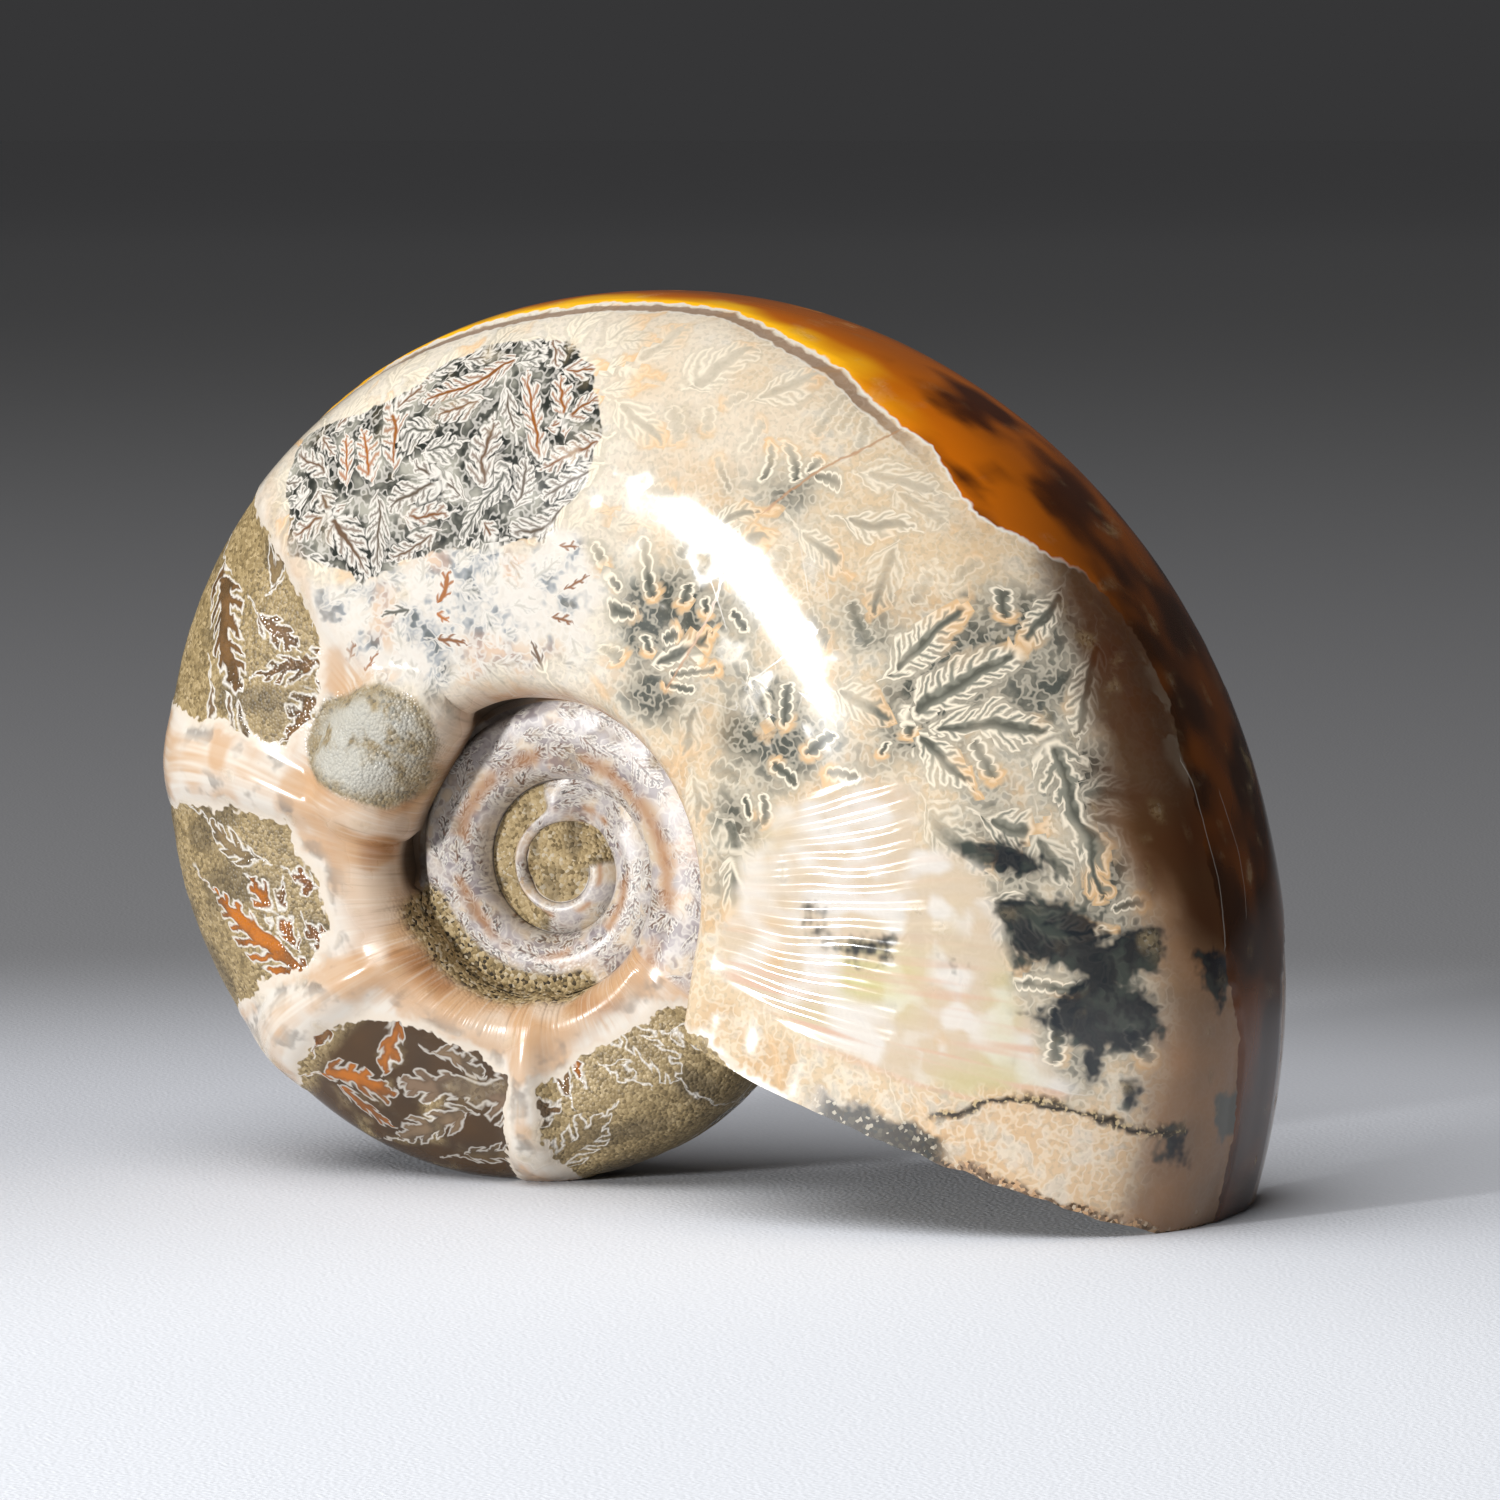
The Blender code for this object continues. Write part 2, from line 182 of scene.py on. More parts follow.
def section(whorl):
    """Half of the whorl's cross-section, as radius and distance from the plane of symmetry.

    It comes as two runs of points: from the venter to the umbilical shoulder, and down the
    umbilical wall to the seam.
    """
    venter, seam, thickness = outer_radius(whorl), seam_radius(whorl), half_thickness(whorl)
    seam_height = SEAM_DEPTH * half_thickness(whorl + 1.0)
    shoulder_height = (1.0 - FLANK_FALL) * thickness
    slope = np.interp(whorl, (0.0, GENTLE_FROM), (STEEP_WALL, GENTLE_WALL))
    shoulder = seam + slope * (shoulder_height - seam_height)
    widest = WIDEST * venter

    turn = np.linspace(0.0, math.pi / 2, VENTER_POINTS)
    rounded = np.column_stack(
        (
            widest + (venter - widest) * np.cos(turn) ** (2.0 / VENTER_POWER),
            thickness * np.sin(turn) ** (2.0 / FLANK_POWER),
        )
    )
    inward = np.linspace(0.0, 1.0, RUN_POINTS)[1:]
    flank = np.column_stack(
        (widest + (shoulder - widest) * inward, thickness * (1.0 - FLANK_FALL * inward**2))
    )
    turn = np.linspace(0.0, math.pi / 2, RUN_POINTS)
    wall = np.column_stack(
        (
            shoulder - (shoulder - seam) * np.sin(turn),
            seam_height + (shoulder_height - seam_height) * np.cos(turn),
        )
    )
    return np.vstack((rounded, flank)), wall


def run_shares(points):
    """How far along a run of points each of them is, as a share of its length."""
    steps = np.hypot(*np.diff(points, axis=0).T)
    return np.concatenate(([0.0], np.cumsum(steps))) / steps.sum()


def spread(points, count, start=0.0, end=1.0):
    """count points, evenly spaced along part of a run of points, given as shares of its length."""
    along = run_shares(points)
    wanted = np.linspace(start, end, count)
    return np.column_stack([np.interp(wanted, along, column) for column in points.T])


def share_at_radius(points, radius):
    """How far along a run of points, as a share of its length, its radius falls to this one."""
    return float(np.interp(-radius, -points[:, 0], run_shares(points)))


def section_rows(whorl):
    """The section at one point for each row: venter, cover line, shoulder, seam."""
    flank, wall = section(whorl)
    cover = share_at_radius(flank, seam_radius(whorl - 1.0))
    return np.vstack(
        (
            spread(flank, VENTER_ROWS + 1, 0.0, cover),
            spread(flank, FLANK_ROWS + 1, cover, 1.0)[1:],
            spread(wall, WALL_ROWS + 1)[1:],
        )
    )


def outward(rows):
    """The outward direction at each row, in the section's own plane."""
    along = np.gradient(rows, axis=0)
    along[0] = (0.0, 1.0)
    facing = np.column_stack((along[:, 1], -along[:, 0]))
    return facing / np.linalg.norm(facing, axis=1)[:, None]


def bend(angle, share):
    """How far the growth lines swing forward there, away from the middle of the flank."""
    amount = np.interp(angle, (2.0 * RIBS[0] - RIBS[1], *RIBS), (0.0, *RIB_BENDS))
    return amount * ((np.minimum(share, BEND_END) - BEND_MIDDLE) / BEND_SHARE) ** 2


def lean(whorl, share):
    """How far growth lines lean forward there: at the aperture, and where that meets a whorl."""
    fade = max(0.0, 1.0 - whorl / LEAN_REACH) ** 2
    inner_fade = max(0.0, 1.0 - abs(whorl - 1.0) / LEAN_REACH) ** 2
    seam_share = SEAM_RADIUS / APERTURE_RADIUS
    return APERTURE_LEAN * (fade * (1.0 - share) ** 2 + inner_fade * (1.0 - seam_share) ** 2)


def drop(radius, whorl):
    """How far a point is below where the outer coil's centre would put it."""
    venter = outer_radius(whorl)
    inner = seam_radius(whorl) + (seam_radius(whorl - 1.0) - seam_radius(whorl)) * min(whorl, 1.0)
    return UMBILICUS_DROP * smooth_step(0.0, 1.0, (venter - radius) / (venter - inner))


def whorl_at(angle):
    return (angle - APERTURE_ANGLE) / FULL_TURN


def noise_at(places, bumps, seed=0.0):
    """Smooth noise at each of some places, with this many bumps a metre."""
    shift = Vector((seed, 2.0 * seed, 3.0 * seed))
    return np.array([noise.noise(Vector(place) * bumps + shift) for place in places])


def column_turns():
    """Where the columns stand in one whorl, as turned from the aperture, in radians."""
    turned = np.linspace(0.0, FULL_TURN, TURN_POINTS)
    radius = DENSEST_SHARE * APERTURE_RADIUS * np.exp(-OUTER_GROWTH * turned / FULL_TURN)
    ribbed = 1.0 - smooth_step(0.9, 1.1, turned / RIBBED_UNTIL)
    width = COLUMN_WIDTH + (RIBBED_COLUMN_WIDTH - COLUMN_WIDTH) * ribbed
    density = radius / width
    total = np.concatenate(([0.0], np.cumsum((density[1:] + density[:-1]) / 2.0 * np.diff(turned))))
    count = 2 * round(total[-1] / 2)
    return np.interp(np.arange(count) * total[-1] / count, total, turned)


# Outlines on the flank, each corner as (angle in degrees, share of the venter's radius); a share
# above 1 lies past the venter
AMBER = (
    (148, 1.2), (132, 0.998), (118, 0.994), (108, 0.986), (98, 0.980), (89, 0.979), (80, 0.981),
    (73, 0.985), (70, 0.9865), (65, 0.979), (62, 0.9725), (57, 0.968), (53, 0.957), (49, 0.949),
    (44, 0.946), (39.5, 0.931), (36.5, 0.928), (34, 0.9385), (31.5, 0.954), (29.3, 0.967),
    (27, 0.980), (24, 0.985), (20, 0.990), (15, 0.989), (8, 0.985), (2, 0.984), (-5, 0.988),
    (-12, 0.9956), (-20, 0.9974), (-36, 0.998), (-36, 1.3), (60, 1.3),
)
TAN_RIM = (
    (7, 0.905), (2, 0.915), (-4, 0.93), (-10, 0.935), (-17, 0.93), (-30, 0.93), (-36, 1.3),
    (9, 1.3),
)
SMOKY = (
    (31, 0.965), (27, 0.95), (21, 0.940), (16.5, 0.925), (11.5, 0.915), (6, 0.909), (2, 0.922),
    (-1, 0.947), (-4, 0.9625), (-5.5, 0.985), (-7, 1.05), (31, 1.05),
)
DARK_ZONE = (
    (104, 0.902), (101, 0.927), (96, 0.932), (92, 0.932), (88, 0.927), (85.5, 0.919), (82.5, 0.897),
    (80.5, 0.880), (79.5, 0.845), (78, 0.824), (76.5, 0.764), (76.5, 0.703), (78, 0.66),
    (83, 0.595), (90.5, 0.591), (96.5, 0.600), (102, 0.617), (110.5, 0.625), (119.5, 0.643),
    (122, 0.686), (125, 0.720), (129, 0.79), (126, 0.86), (125.5, 0.90), (122.5, 0.966),
    (115, 0.93), (109, 0.906),
)
WHITISH = (
    (130.5, 0.729), (125, 0.677), (115.5, 0.625), (106.5, 0.625), (94.5, 0.591), (83, 0.587),
    (77, 0.634), (73, 0.569), (69, 0.509), (69, 0.41), (82, 0.36), (92, 0.39), (102, 0.385),
    (114, 0.40), (121, 0.44), (128, 0.496), (137, 0.544), (140.5, 0.578), (137.5, 0.634),
    (134, 0.70),
)
NACRE = (
    (7.5, 0.380), (17, 0.457), (16, 0.548), (15.5, 0.651), (12.5, 0.673), (7, 0.656), (5, 0.703),
    (3, 0.738), (-3, 0.751), (-9.5, 0.759), (-12, 0.794), (-14.5, 0.798), (-16.5, 0.863),
    (-18.5, 0.833), (-19, 0.759), (-21, 0.712), (-21.7, 0.634), (-22, 0.561), (-22, 0.492),
    (-20.5, 0.427), (-19, 0.362), (-11.5, 0.336), (-1, 0.354),
)
BLUE_PATCHES = (
    (
        (-4, 0.755), (-0.5, 0.746), (-0.2, 0.776), (-0.7, 0.863), (-3.5, 0.876), (-2.6, 0.897),
        (-3.5, 0.932), (-5.3, 0.932), (-7.5, 0.902), (-8.5, 0.936), (-11, 0.932), (-13.5, 0.902),
        (-13, 0.876), (-16.5, 0.867), (-16.5, 0.854), (-12.5, 0.837), (-11.5, 0.781), (-9, 0.815),
        (-7.4, 0.841), (-5.7, 0.815), (-6.8, 0.768),
    ),
    ((6, 0.70), (6, 0.764), (3.7, 0.807), (2, 0.824), (1.9, 0.776), (3.8, 0.725)),
    ((-7, 0.518), (-5.7, 0.548), (-5.4, 0.591), (-7.3, 0.574), (-8.6, 0.535)),
    ((-0.5, 0.475), (-0.9, 0.505), (-5.9, 0.49), (-5.1, 0.475)),
    ((-7, 0.664), (-7.1, 0.695), (-8.6, 0.682), (-8.3, 0.669)),
    ((-5, 0.970), (-4.6, 0.9856), (-6, 0.9934), (-7.5, 0.988), (-9.2, 0.984), (-7.2, 0.972)),
    ((4, 0.9995), (4, 1.02), (-2, 1.02), (-2, 0.9996)),
    ((-3.2, 0.9988), (-3.2, 0.9998), (-5, 0.9998), (-5, 0.9988)),
    ((-18.5, 0.949), (-18.5, 0.962), (-20.6, 0.972), (-20.9, 0.949)),
    ((-15.9, 0.905), (-15.9, 0.916), (-17, 0.916), (-17, 0.905)),
)
TEAL_PATCH = ((-15.7, 0.987), (-15.3, 0.9987), (-18.7, 0.9998), (-19.5, 0.9934), (-17.5, 0.988))
CALCITE_PATCH = (
    (18.3, 0.987), (18.1, 0.9991), (12.2, 0.9995), (9.7, 0.998), (8.5, 0.987), (9, 0.976),
    (13, 0.9756), (15.5, 0.978),
)
WINDOW_OUTLINES = (
    (
        (133, 0.62), (131, 0.80), (132, 0.97), (133, 1.3), (162, 1.3), (161, 1.0), (161, 0.90),
        (157, 0.75), (156, 0.62), (145, 0.56),
    ),
    (
        (170, 0.60), (171, 0.75), (174, 0.90), (176, 1.0), (176, 1.3), (207, 1.3), (207, 1.0),
        (205, 0.90), (203, 0.75), (202, 0.62), (196, 0.54), (182, 0.53),
    ),
    (
        (219, 0.60), (217, 0.75), (219, 0.90), (222, 1.0), (222, 1.3), (263, 1.3), (263, 1.0),
        (263, 0.80), (262, 0.60), (250, 0.535), (232, 0.53),
    ),
    (
        (272, 0.62), (272, 0.80), (273, 1.0), (273, 1.3), (325, 1.3), (328, 0.80), (318, 0.62),
        (300, 0.58), (284, 0.58),
    ),
)
LUMP = (
    (150, 0.574), (142.5, 0.565), (136, 0.531), (127, 0.479), (120.5, 0.423), (118, 0.375),
    (123, 0.345), (136, 0.341), (148, 0.354), (155.5, 0.380), (157.5, 0.418), (157.5, 0.479),
    (156, 0.552),
)
MINERAL_SEAM = (
    (-23.7, 0.673), (-22.5, 0.712), (-20.4, 0.733), (-19.5, 0.759), (-18.7, 0.811), (-18.6, 0.841),
    (-18.7, 0.871), (-18.9, 0.910), (-18.8, 0.942), (-18.3, 0.970),
)
CRACKS = (
    ((52, 0.665), (51.4, 0.625), (49.5, 0.574), (48.5, 0.505), (47.5, 0.423)),
    ((47.5, 0.945), (48.5, 0.889), (50.1, 0.837), (51.1, 0.789), (52, 0.742)),
)
WHITE_LINES = (
    ((10.4, 0.9834), (7.8, 0.9865), (4.5, 0.986), (0.5, 0.9887), (-4.8, 0.9882)),
    ((7.3, 0.9978), (2.5, 0.9991), (-0.5, 0.9991), (-2.9, 0.9987)),
    ((54, 0.62), (46, 0.565)),
    ((38, 0.53), (32, 0.50)),
    ((41, 0.45), (35, 0.48), (30, 0.53)),
    ((37, 0.51), (36, 0.66)),
    ((31, 0.58), (25, 0.60)),
    ((46, 0.735), (41, 0.69)),
    ((43, 0.74), (38, 0.70)),
    ((-16.9, 0.802), (-17.3, 0.833), (-17.1, 0.863)),
)


def unrolled_radius(whorl, radius):
    """Where a radius would lie if the flank's outer curve were rolled out flat."""
    run = np.vstack(section(whorl))
    steps = np.hypot(*np.diff(run, axis=0).T)
    from_venter = np.concatenate(([0.0], np.cumsum(steps)))
    widest = WIDEST * outer_radius(whorl)
    to_widest = np.interp(-widest, -run[:, 0], from_venter)
    past_venter = np.maximum(radius - outer_radius(whorl), 0.0)
    curved = widest + to_widest - np.interp(-radius, -run[:, 0], from_venter) + past_venter
    return np.where(radius > widest, curved, radius)


def flat_place(angle, share):
    """A place on the flank in the rolled-out plane, as x and z from the coil's centre."""
    whorl = whorl_at(angle)
    radius = share * outer_radius(whorl)
    flat = float(unrolled_radius(whorl, radius))
    low = float(drop(min(radius, outer_radius(whorl)), whorl))
    return np.array((flat * math.cos(angle), flat * math.sin(angle) - low))


def trace(corners, closed=True, steps=4):
    """An outline in the rolled-out plane, with the coil's curve between its corners."""
    ring = list(corners) + ([corners[0]] if closed else [])
    points = []
    for (angle_a, share_a), (angle_b, share_b) in zip(ring, ring[1:]):
        for step in range(steps):
            part = step / steps
            angle = math.radians(angle_a + (angle_b - angle_a) * part)
            points.append(flat_place(angle, share_a + (share_b - share_a) * part))
    points.append(flat_place(math.radians(ring[-1][0]), ring[-1][1]))
    return np.array(points)


def distance_to_line(places, line):
    """How far each place is from a line of points."""
    nearest = np.full(len(places), np.inf)
    for start, end in zip(line, line[1:]):
        run = end - start
        along = np.clip((places - start) @ run / max(run @ run, SHORTEST), 0.0, 1.0)
        nearest = np.minimum(nearest, np.linalg.norm(places - start - along[:, None] * run, axis=1))
    return nearest


def within(places, ring):
    """Whether each place is inside a closed ring of points."""
    found = np.zeros(len(places), bool)
    for (ax, az), (bx, bz) in zip(ring, ring[1:]):
        if abs(bz - az) > LEVEL_RUN:
            crosses = (az > places[:, 1]) != (bz > places[:, 1])
            found ^= crosses & (places[:, 0] < ax + (places[:, 1] - az) * (bx - ax) / (bz - az))
    return found


def depth_within(places, corners):
    """How far inside an outline each place is; outside it, the distance to it below zero."""
    ring = trace(corners)
    away = distance_to_line(places, ring)
    return np.where(within(places, ring), away, -away)


def deepest(places, outlines):
    return np.max([depth_within(places, corners) for corners in outlines], axis=0)


def offset_from_lines(places, lines):
    """How far each place is to one side of the nearest line, and whether it is beside that line."""
    nearest = np.full(len(places), np.inf)
    offset, beside = np.full(len(places), FAR_OFFSET), np.zeros(len(places))
    for corners in lines:
        line = trace(corners, closed=False)
        for k, (start, end) in enumerate(zip(line, line[1:])):
            run = end - start
            along = (places - start) @ run / max(run @ run, SHORTEST)
            past_end = (along < 0.0) & (k == 0) | (along > 1.0) & (k == len(line) - 2)
            from_start = places - start - np.clip(along, 0.0, 1.0)[:, None] * run
            away = np.linalg.norm(from_start, axis=1)
            closer = away < nearest
            side = np.where(run[0] * from_start[:, 1] - run[1] * from_start[:, 0] < 0.0, -1.0, 1.0)
            nearest = np.where(closer, away, nearest)
            offset = np.where(closer, away * side, offset)
            beside = np.where(closer, np.where(past_end, 0.0, 1.0), beside)
    return offset / MM, beside * (nearest < LINE_REACH)


def relief(angle, whorl, radius, side):
    """Height of ribs, windows and the lump above the smooth section, as in the CAD model."""
    share = radius / outer_radius(whorl)
    height = np.zeros_like(radius)
    if whorl >= 1.0:
        return height
    crest = RIB_HEIGHT * smooth_step(RELIEF_FROM, RELIEF_FULL, whorl)
    crest = crest * (1.0 - (1.0 - RIB_AT_VENTER) * smooth_step(*RIB_FALLS, share))
    for rib in RIBS:
        apart = (angle - rib) * radius / RIB_HALF_WIDTH
        height += crest * np.exp(-apart * apart)
    for first, last in WINDOWS:
        edge = WINDOW_EDGE / radius
        along = smooth_step(first - edge, first + edge, angle)
        along *= 1.0 - smooth_step(last - edge, last + edge, angle)
        across = smooth_step(*WINDOW_INNER, share)
        across *= 1.0 - WINDOW_FADED * smooth_step(*WINDOW_FADE, share)
        height -= WINDOW_DEPTH * along * across
    if side == FRONT:
        along = (angle - LUMP_ANGLE) * LUMP_RADIUS / LUMP_HALF_LENGTH
        across = (radius - LUMP_RADIUS) / LUMP_HALF_WIDTH
        reach = along * along + across * across
        dome = LUMP_HEIGHT * np.sqrt(np.maximum(0.0, 1.0 - reach * LUMP_ROUNDING))
        height += np.where(reach < LUMP_EDGE, dome, 0.0)
    return height


def seam_fill(angle):
    """How far the rock in the seam stands above it, at an angle."""
    first, last = SEAM_FILL_ANGLES
    rise = smooth_step(first, first + SEAM_FILL_FADE, angle)
    return SEAM_FILL * rise * (1.0 - smooth_step(last - SEAM_FILL_FADE, last, angle))


def seam_height(whorl):
    """The seam's distance from the plane of symmetry, level with the rock past the last whorl."""
    started = smooth_step(VISIBLE_WHORLS, VISIBLE_WHORLS + PRINT_START, whorl)
    low = SEAM_DEPTH * half_thickness(min(whorl, VISIBLE_WHORLS) + 1.0)
    return low + (CORE_LEVEL - low) * started


def sandstone_share(whorl, row_share):
    """How far the surface is plain sandstone: in the core, and on the outer side of the print."""
    beside = smooth_step(*PRINT_ROCK[:2], whorl) - smooth_step(*PRINT_ROCK[2:], whorl)
    beside = beside * smooth_step(*PRINT_ROCK_ROWS, row_share)
    return np.maximum(beside, smooth_step(*PRINT_END, whorl))


def shell_column(turned, side):
    """One column of places over a flank, from the venter to the seam, and what is known of each."""
    whorl = turned / FULL_TURN
    angle = APERTURE_ANGLE + turned
    rows = section_rows(whorl)
    facing = outward(rows)
    radius, across = rows[:, 0].copy(), rows[:, 1].copy()
    share = radius / outer_radius(whorl)
    leant = angle + lean(whorl, share)
    if whorl < 1.0:
        leant = leant + bend(angle, share)
    if turned < CHIP_REACH:
        row_places = [Vector((r * CHIPS, CHIP_SIDES * side, CHIP_SEED)) for r in radius]
        chips = np.array([noise.noise(place) for place in row_places])
        chips[SEAM_ROW] = 0.0
        leant = leant + CHIPPED * chips * (1.0 - turned / CHIP_REACH)
    height = relief(angle, whorl, radius, side)
    height[SEAM_ROW] = 0.0
    row_share = (np.arange(SEAM_ROW + 1) - COVER_ROW) / (SEAM_ROW - COVER_ROW)
    sinking = smooth_step(VISIBLE_WHORLS - END_FADE, VISIBLE_WHORLS, whorl)
    cover, seam = seam_height(whorl - 1.0), seam_height(whorl)
    inward = (radius - seam_radius(whorl - 1.0)) / (seam_radius(whorl) - seam_radius(whorl - 1.0))
    level = cover + (seam - cover) * np.clip(inward, 0.0, 1.0)
    across += (level - across) * sinking
    across[SEAM_ROW] += seam_fill(leant[SEAM_ROW])
    low = drop(radius, whorl)
    radius = radius + facing[:, 0] * height
    across = across + facing[:, 1] * height
    across[0] = 0.0
    points = np.column_stack((radius * np.cos(leant), across * side, radius * np.sin(leant) - low))
    flat = unrolled_radius(whorl, rows[:, 0])
    known = (angle, share, whorl, side, row_share, 0.0, sandstone_share(whorl, row_share))
    known += (flat * np.cos(leant), flat * np.sin(leant) - low)
    return points, np.column_stack([np.full(len(share), fact) for fact in known])


class Shell:
    """The fine surface: its places, what is known of each of them, and its faces."""

    def __init__(self):
        self.turns = column_turns()
        self.whorl_columns = len(self.turns)
        rest = np.searchsorted(self.turns, FULL_TURN * (PRINTED_WHORLS % 1.0))
        self.last_column = int(PRINTED_WHORLS) * self.whorl_columns + 2 * int(rest / 2)
        self.index = {}
        self.points = []
        self.facts = []
        self.faces = []
        for side in (FRONT, BACK):
            self.add_points(side)
        for side in (FRONT, BACK):
            self.add_flank(side)
            self.add_umbilicus(side)
        self.close_aperture()
        for side in (FRONT, BACK):
            self.close_core(side)

    def key(self, side, column, row):
        """The inner whorl's cover line is the next one's seam, and both flanks share the venter."""
        if row == 0:
            side = FRONT
        if column >= self.whorl_columns and row == COVER_ROW:
            return self.key(side, column - self.whorl_columns, SEAM_ROW)
        return side, column, row

    def vertex(self, side, column, row):
        return self.index[self.key(side, column, row)]

    def add_point(self, point, facts):
        self.points.append(point)
        self.facts.append(facts)
        return len(self.points) - 1

    def add_points(self, side):
        """All columns of the outer whorl, and every second one of the whorls inside it."""
        outer = list(range(self.whorl_columns + 1))
        inner = list(range(self.whorl_columns + 2, self.last_column + 1, 2))
        for column in outer + inner:
            whorls, rest = divmod(column, self.whorl_columns)
            points, facts = shell_column(self.turns[rest] + FULL_TURN * whorls, side)
            first = 0 if column <= self.whorl_columns else COVER_ROW
            for row in range(first, SEAM_ROW + 1):
                key = self.key(side, column, row)
                if key not in self.index:
                    self.index[key] = self.add_point(points[row], facts[row])

    def add_face(self, corners, side):
        self.faces.append(corners if side == FRONT else corners[::-1])

    def add_flank(self, side):
        for column in range(self.whorl_columns):
            for row in range(SEAM_ROW):
                corners = [
                    self.vertex(side, column, row),
                    self.vertex(side, column + 1, row),
                    self.vertex(side, column + 1, row + 1),
                    self.vertex(side, column, row + 1),
                ]
                self.add_face(corners, side)

    def add_umbilicus(self, side):
        """The inner whorls, whose columns are twice as wide as the outer whorl's."""
        for column in range(self.whorl_columns, self.last_column, 2):
            for row in range(COVER_ROW, SEAM_ROW):
                corners = [self.vertex(side, column, row)]
                if row == COVER_ROW and column < 2 * self.whorl_columns:
                    corners.append(self.vertex(side, column + 1, row))
                corners += [
                    self.vertex(side, column + 2, row),
                    self.vertex(side, column + 2, row + 1),
                    self.vertex(side, column, row + 1),
                ]
                self.add_face(corners, side)

    def bridge(self, outer, inner, side):
        """A strip of faces between two loops of as many vertices."""
        for k in range(len(outer)):
            n = (k + 1) % len(outer)
            self.add_face([outer[k], outer[n], inner[n], inner[k]], side)

    def fan(self, loop, tip, side):
        for k in range(len(loop)):
            self.add_face([loop[k], loop[(k + 1) % len(loop)], tip], side)

    def close_aperture(self):
        """The broken end: the shell's own thickness, and rough rock set back inside it."""
        older = self.whorl_columns
        loop = [self.vertex(FRONT, 0, row) for row in range(0, SEAM_ROW + 1)]
        loop += [self.vertex(FRONT, older, row) for row in range(COVER_ROW - 1, -1, -1)]
        loop += [self.vertex(BACK, older, row) for row in range(1, COVER_ROW + 1)]
        loop += [self.vertex(BACK, 0, row) for row in range(SEAM_ROW - 1, 0, -1)]
        angle = APERTURE_ANGLE + float(lean(0.0, WIDEST))
        middle = np.array((math.cos(angle), 0.0, math.sin(angle)))
        middle = middle * APERTURE_MIDDLE * APERTURE_RADIUS
        middle[2] -= float(drop(WIDEST * APERTURE_RADIUS, 0.0))
        back = np.array((-math.sin(angle), 0.0, math.cos(angle)))
        edge = np.array([self.points[vertex] for vertex in loop])
        outer = loop
        for share in APERTURE_RINGS:
            depth = np.interp(share, *ROCK_DEPTHS)
            rough = ROCK_ROUGHNESS * smooth_step(*ROCK_FROM, share)
            inside = middle + (edge - middle) * share + back * depth
            inside = inside + back * (rough * rock(inside))[:, None]
            inner = [self.add_point(point, self.rock_facts(point, 1.0 - share)) for point in inside]
            self.bridge(outer, inner, FRONT)
            outer = inner
        tip = middle + back * ROCK_DEPTHS[1][0]
        self.fan(outer, self.add_point(tip, self.rock_facts(tip, 1.0)), FRONT)

    def rock_facts(self, point, depth):
        broken = float(smooth_step(*BROKEN_SHELL, depth))
        share = math.hypot(point[0], point[2]) / APERTURE_RADIUS
        side = BACK if point[1] > 0.0 else FRONT
        return np.array((APERTURE_ANGLE, share, 0.0, side, 0.0, broken, 0.0, point[0], point[2]))

    def close_core(self, side):
        """The middle of the umbilicus, where the print ends in a flat patch of rock."""
        last, first = self.last_column, self.last_column - self.whorl_columns
        loop = [self.vertex(side, column, SEAM_ROW) for column in range(first, last + 1, 2)]
        loop += [self.vertex(side, last, row) for row in range(SEAM_ROW - 1, COVER_ROW, -1)]
        edge = np.array([self.points[vertex] for vertex in loop])
        reach, angle = CORE_MIDDLE
        height = side * (CORE_LEVEL + CORE_CREST)
        tip = np.array((reach * math.cos(angle), height, reach * math.sin(angle) - UMBILICUS_DROP))
        outer = loop
        for part in CORE_RINGS:
            points = edge + (tip - edge) * part
            inner = [self.add_point(point, self.core_facts(point, side)) for point in points]
            self.bridge(outer, inner, side)
            outer = inner
        self.fan(outer, self.add_point(tip, self.core_facts(tip, side)), side)

    def core_facts(self, point, side):
        return np.array((0.0, 0.0, PRINTED_WHORLS, side, 0.5, 0.0, 1.0, point[0], point[2]))


def rock(places):
    """The roughness of broken rock, as noise about 0."""
    fine = noise_at(places, ROCK_FINER * ROCK_GRAIN, ROCK_FINE_SEED)
    return noise_at(places, ROCK_GRAIN) + ROCK_FINE_SHARE * fine


def direction(azimuth, elevation):
    """A direction away from the object. Azimuth 0 is at -Y, and it turns towards +X."""
    azimuth, elevation = math.radians(azimuth), math.radians(elevation)
    level = math.cos(elevation)
    return Vector((math.sin(azimuth) * level, -math.cos(azimuth) * level, math.sin(elevation)))


def add_camera(centre):
    """The photograph's view: the same place and framing, turned so that the lens needs no shift."""
    back = direction(CAMERA_AZIMUTH, CAMERA_ELEVATION)
    right = direction(CAMERA_AZIMUTH + 90.0, 0.0)
    up = back.cross(right)
    middle = FRAME_PIXELS / 2.0
    aside = (middle - AXIS_PIXEL[0]) / FOCAL_PIXELS
    down = (middle - AXIS_PIXEL[1]) / FOCAL_PIXELS
    ray = (-back + right * aside - up * down).normalized()
    data = bpy.data.cameras.new("camera")
    data.sensor_width = SENSOR
    data.lens = SENSOR * FOCAL_PIXELS / FRAME_PIXELS
    data.clip_start, data.clip_end = CAMERA_CLIP
    camera = bpy.data.objects.new("camera", data)
    bpy.context.scene.collection.objects.link(camera)
    camera.location = centre + back * CAMERA_DISTANCE
    camera.rotation_euler = ray.to_track_quat("-Z", "Y").to_euler()
    bpy.context.scene.camera = camera
    return camera


# What is known of each place, by its column in the facts
GROWTH, SHARE, WHORL, SIDE, ROW, BROKEN, CORE, FLAT_X, FLAT_Z = range(9)

SHARP_EDGE = math.radians(60.0)
LINE_REACH = 1.2 * MM  # how far beside a drawn line its distance is of use
FAR_OFFSET = 9.0
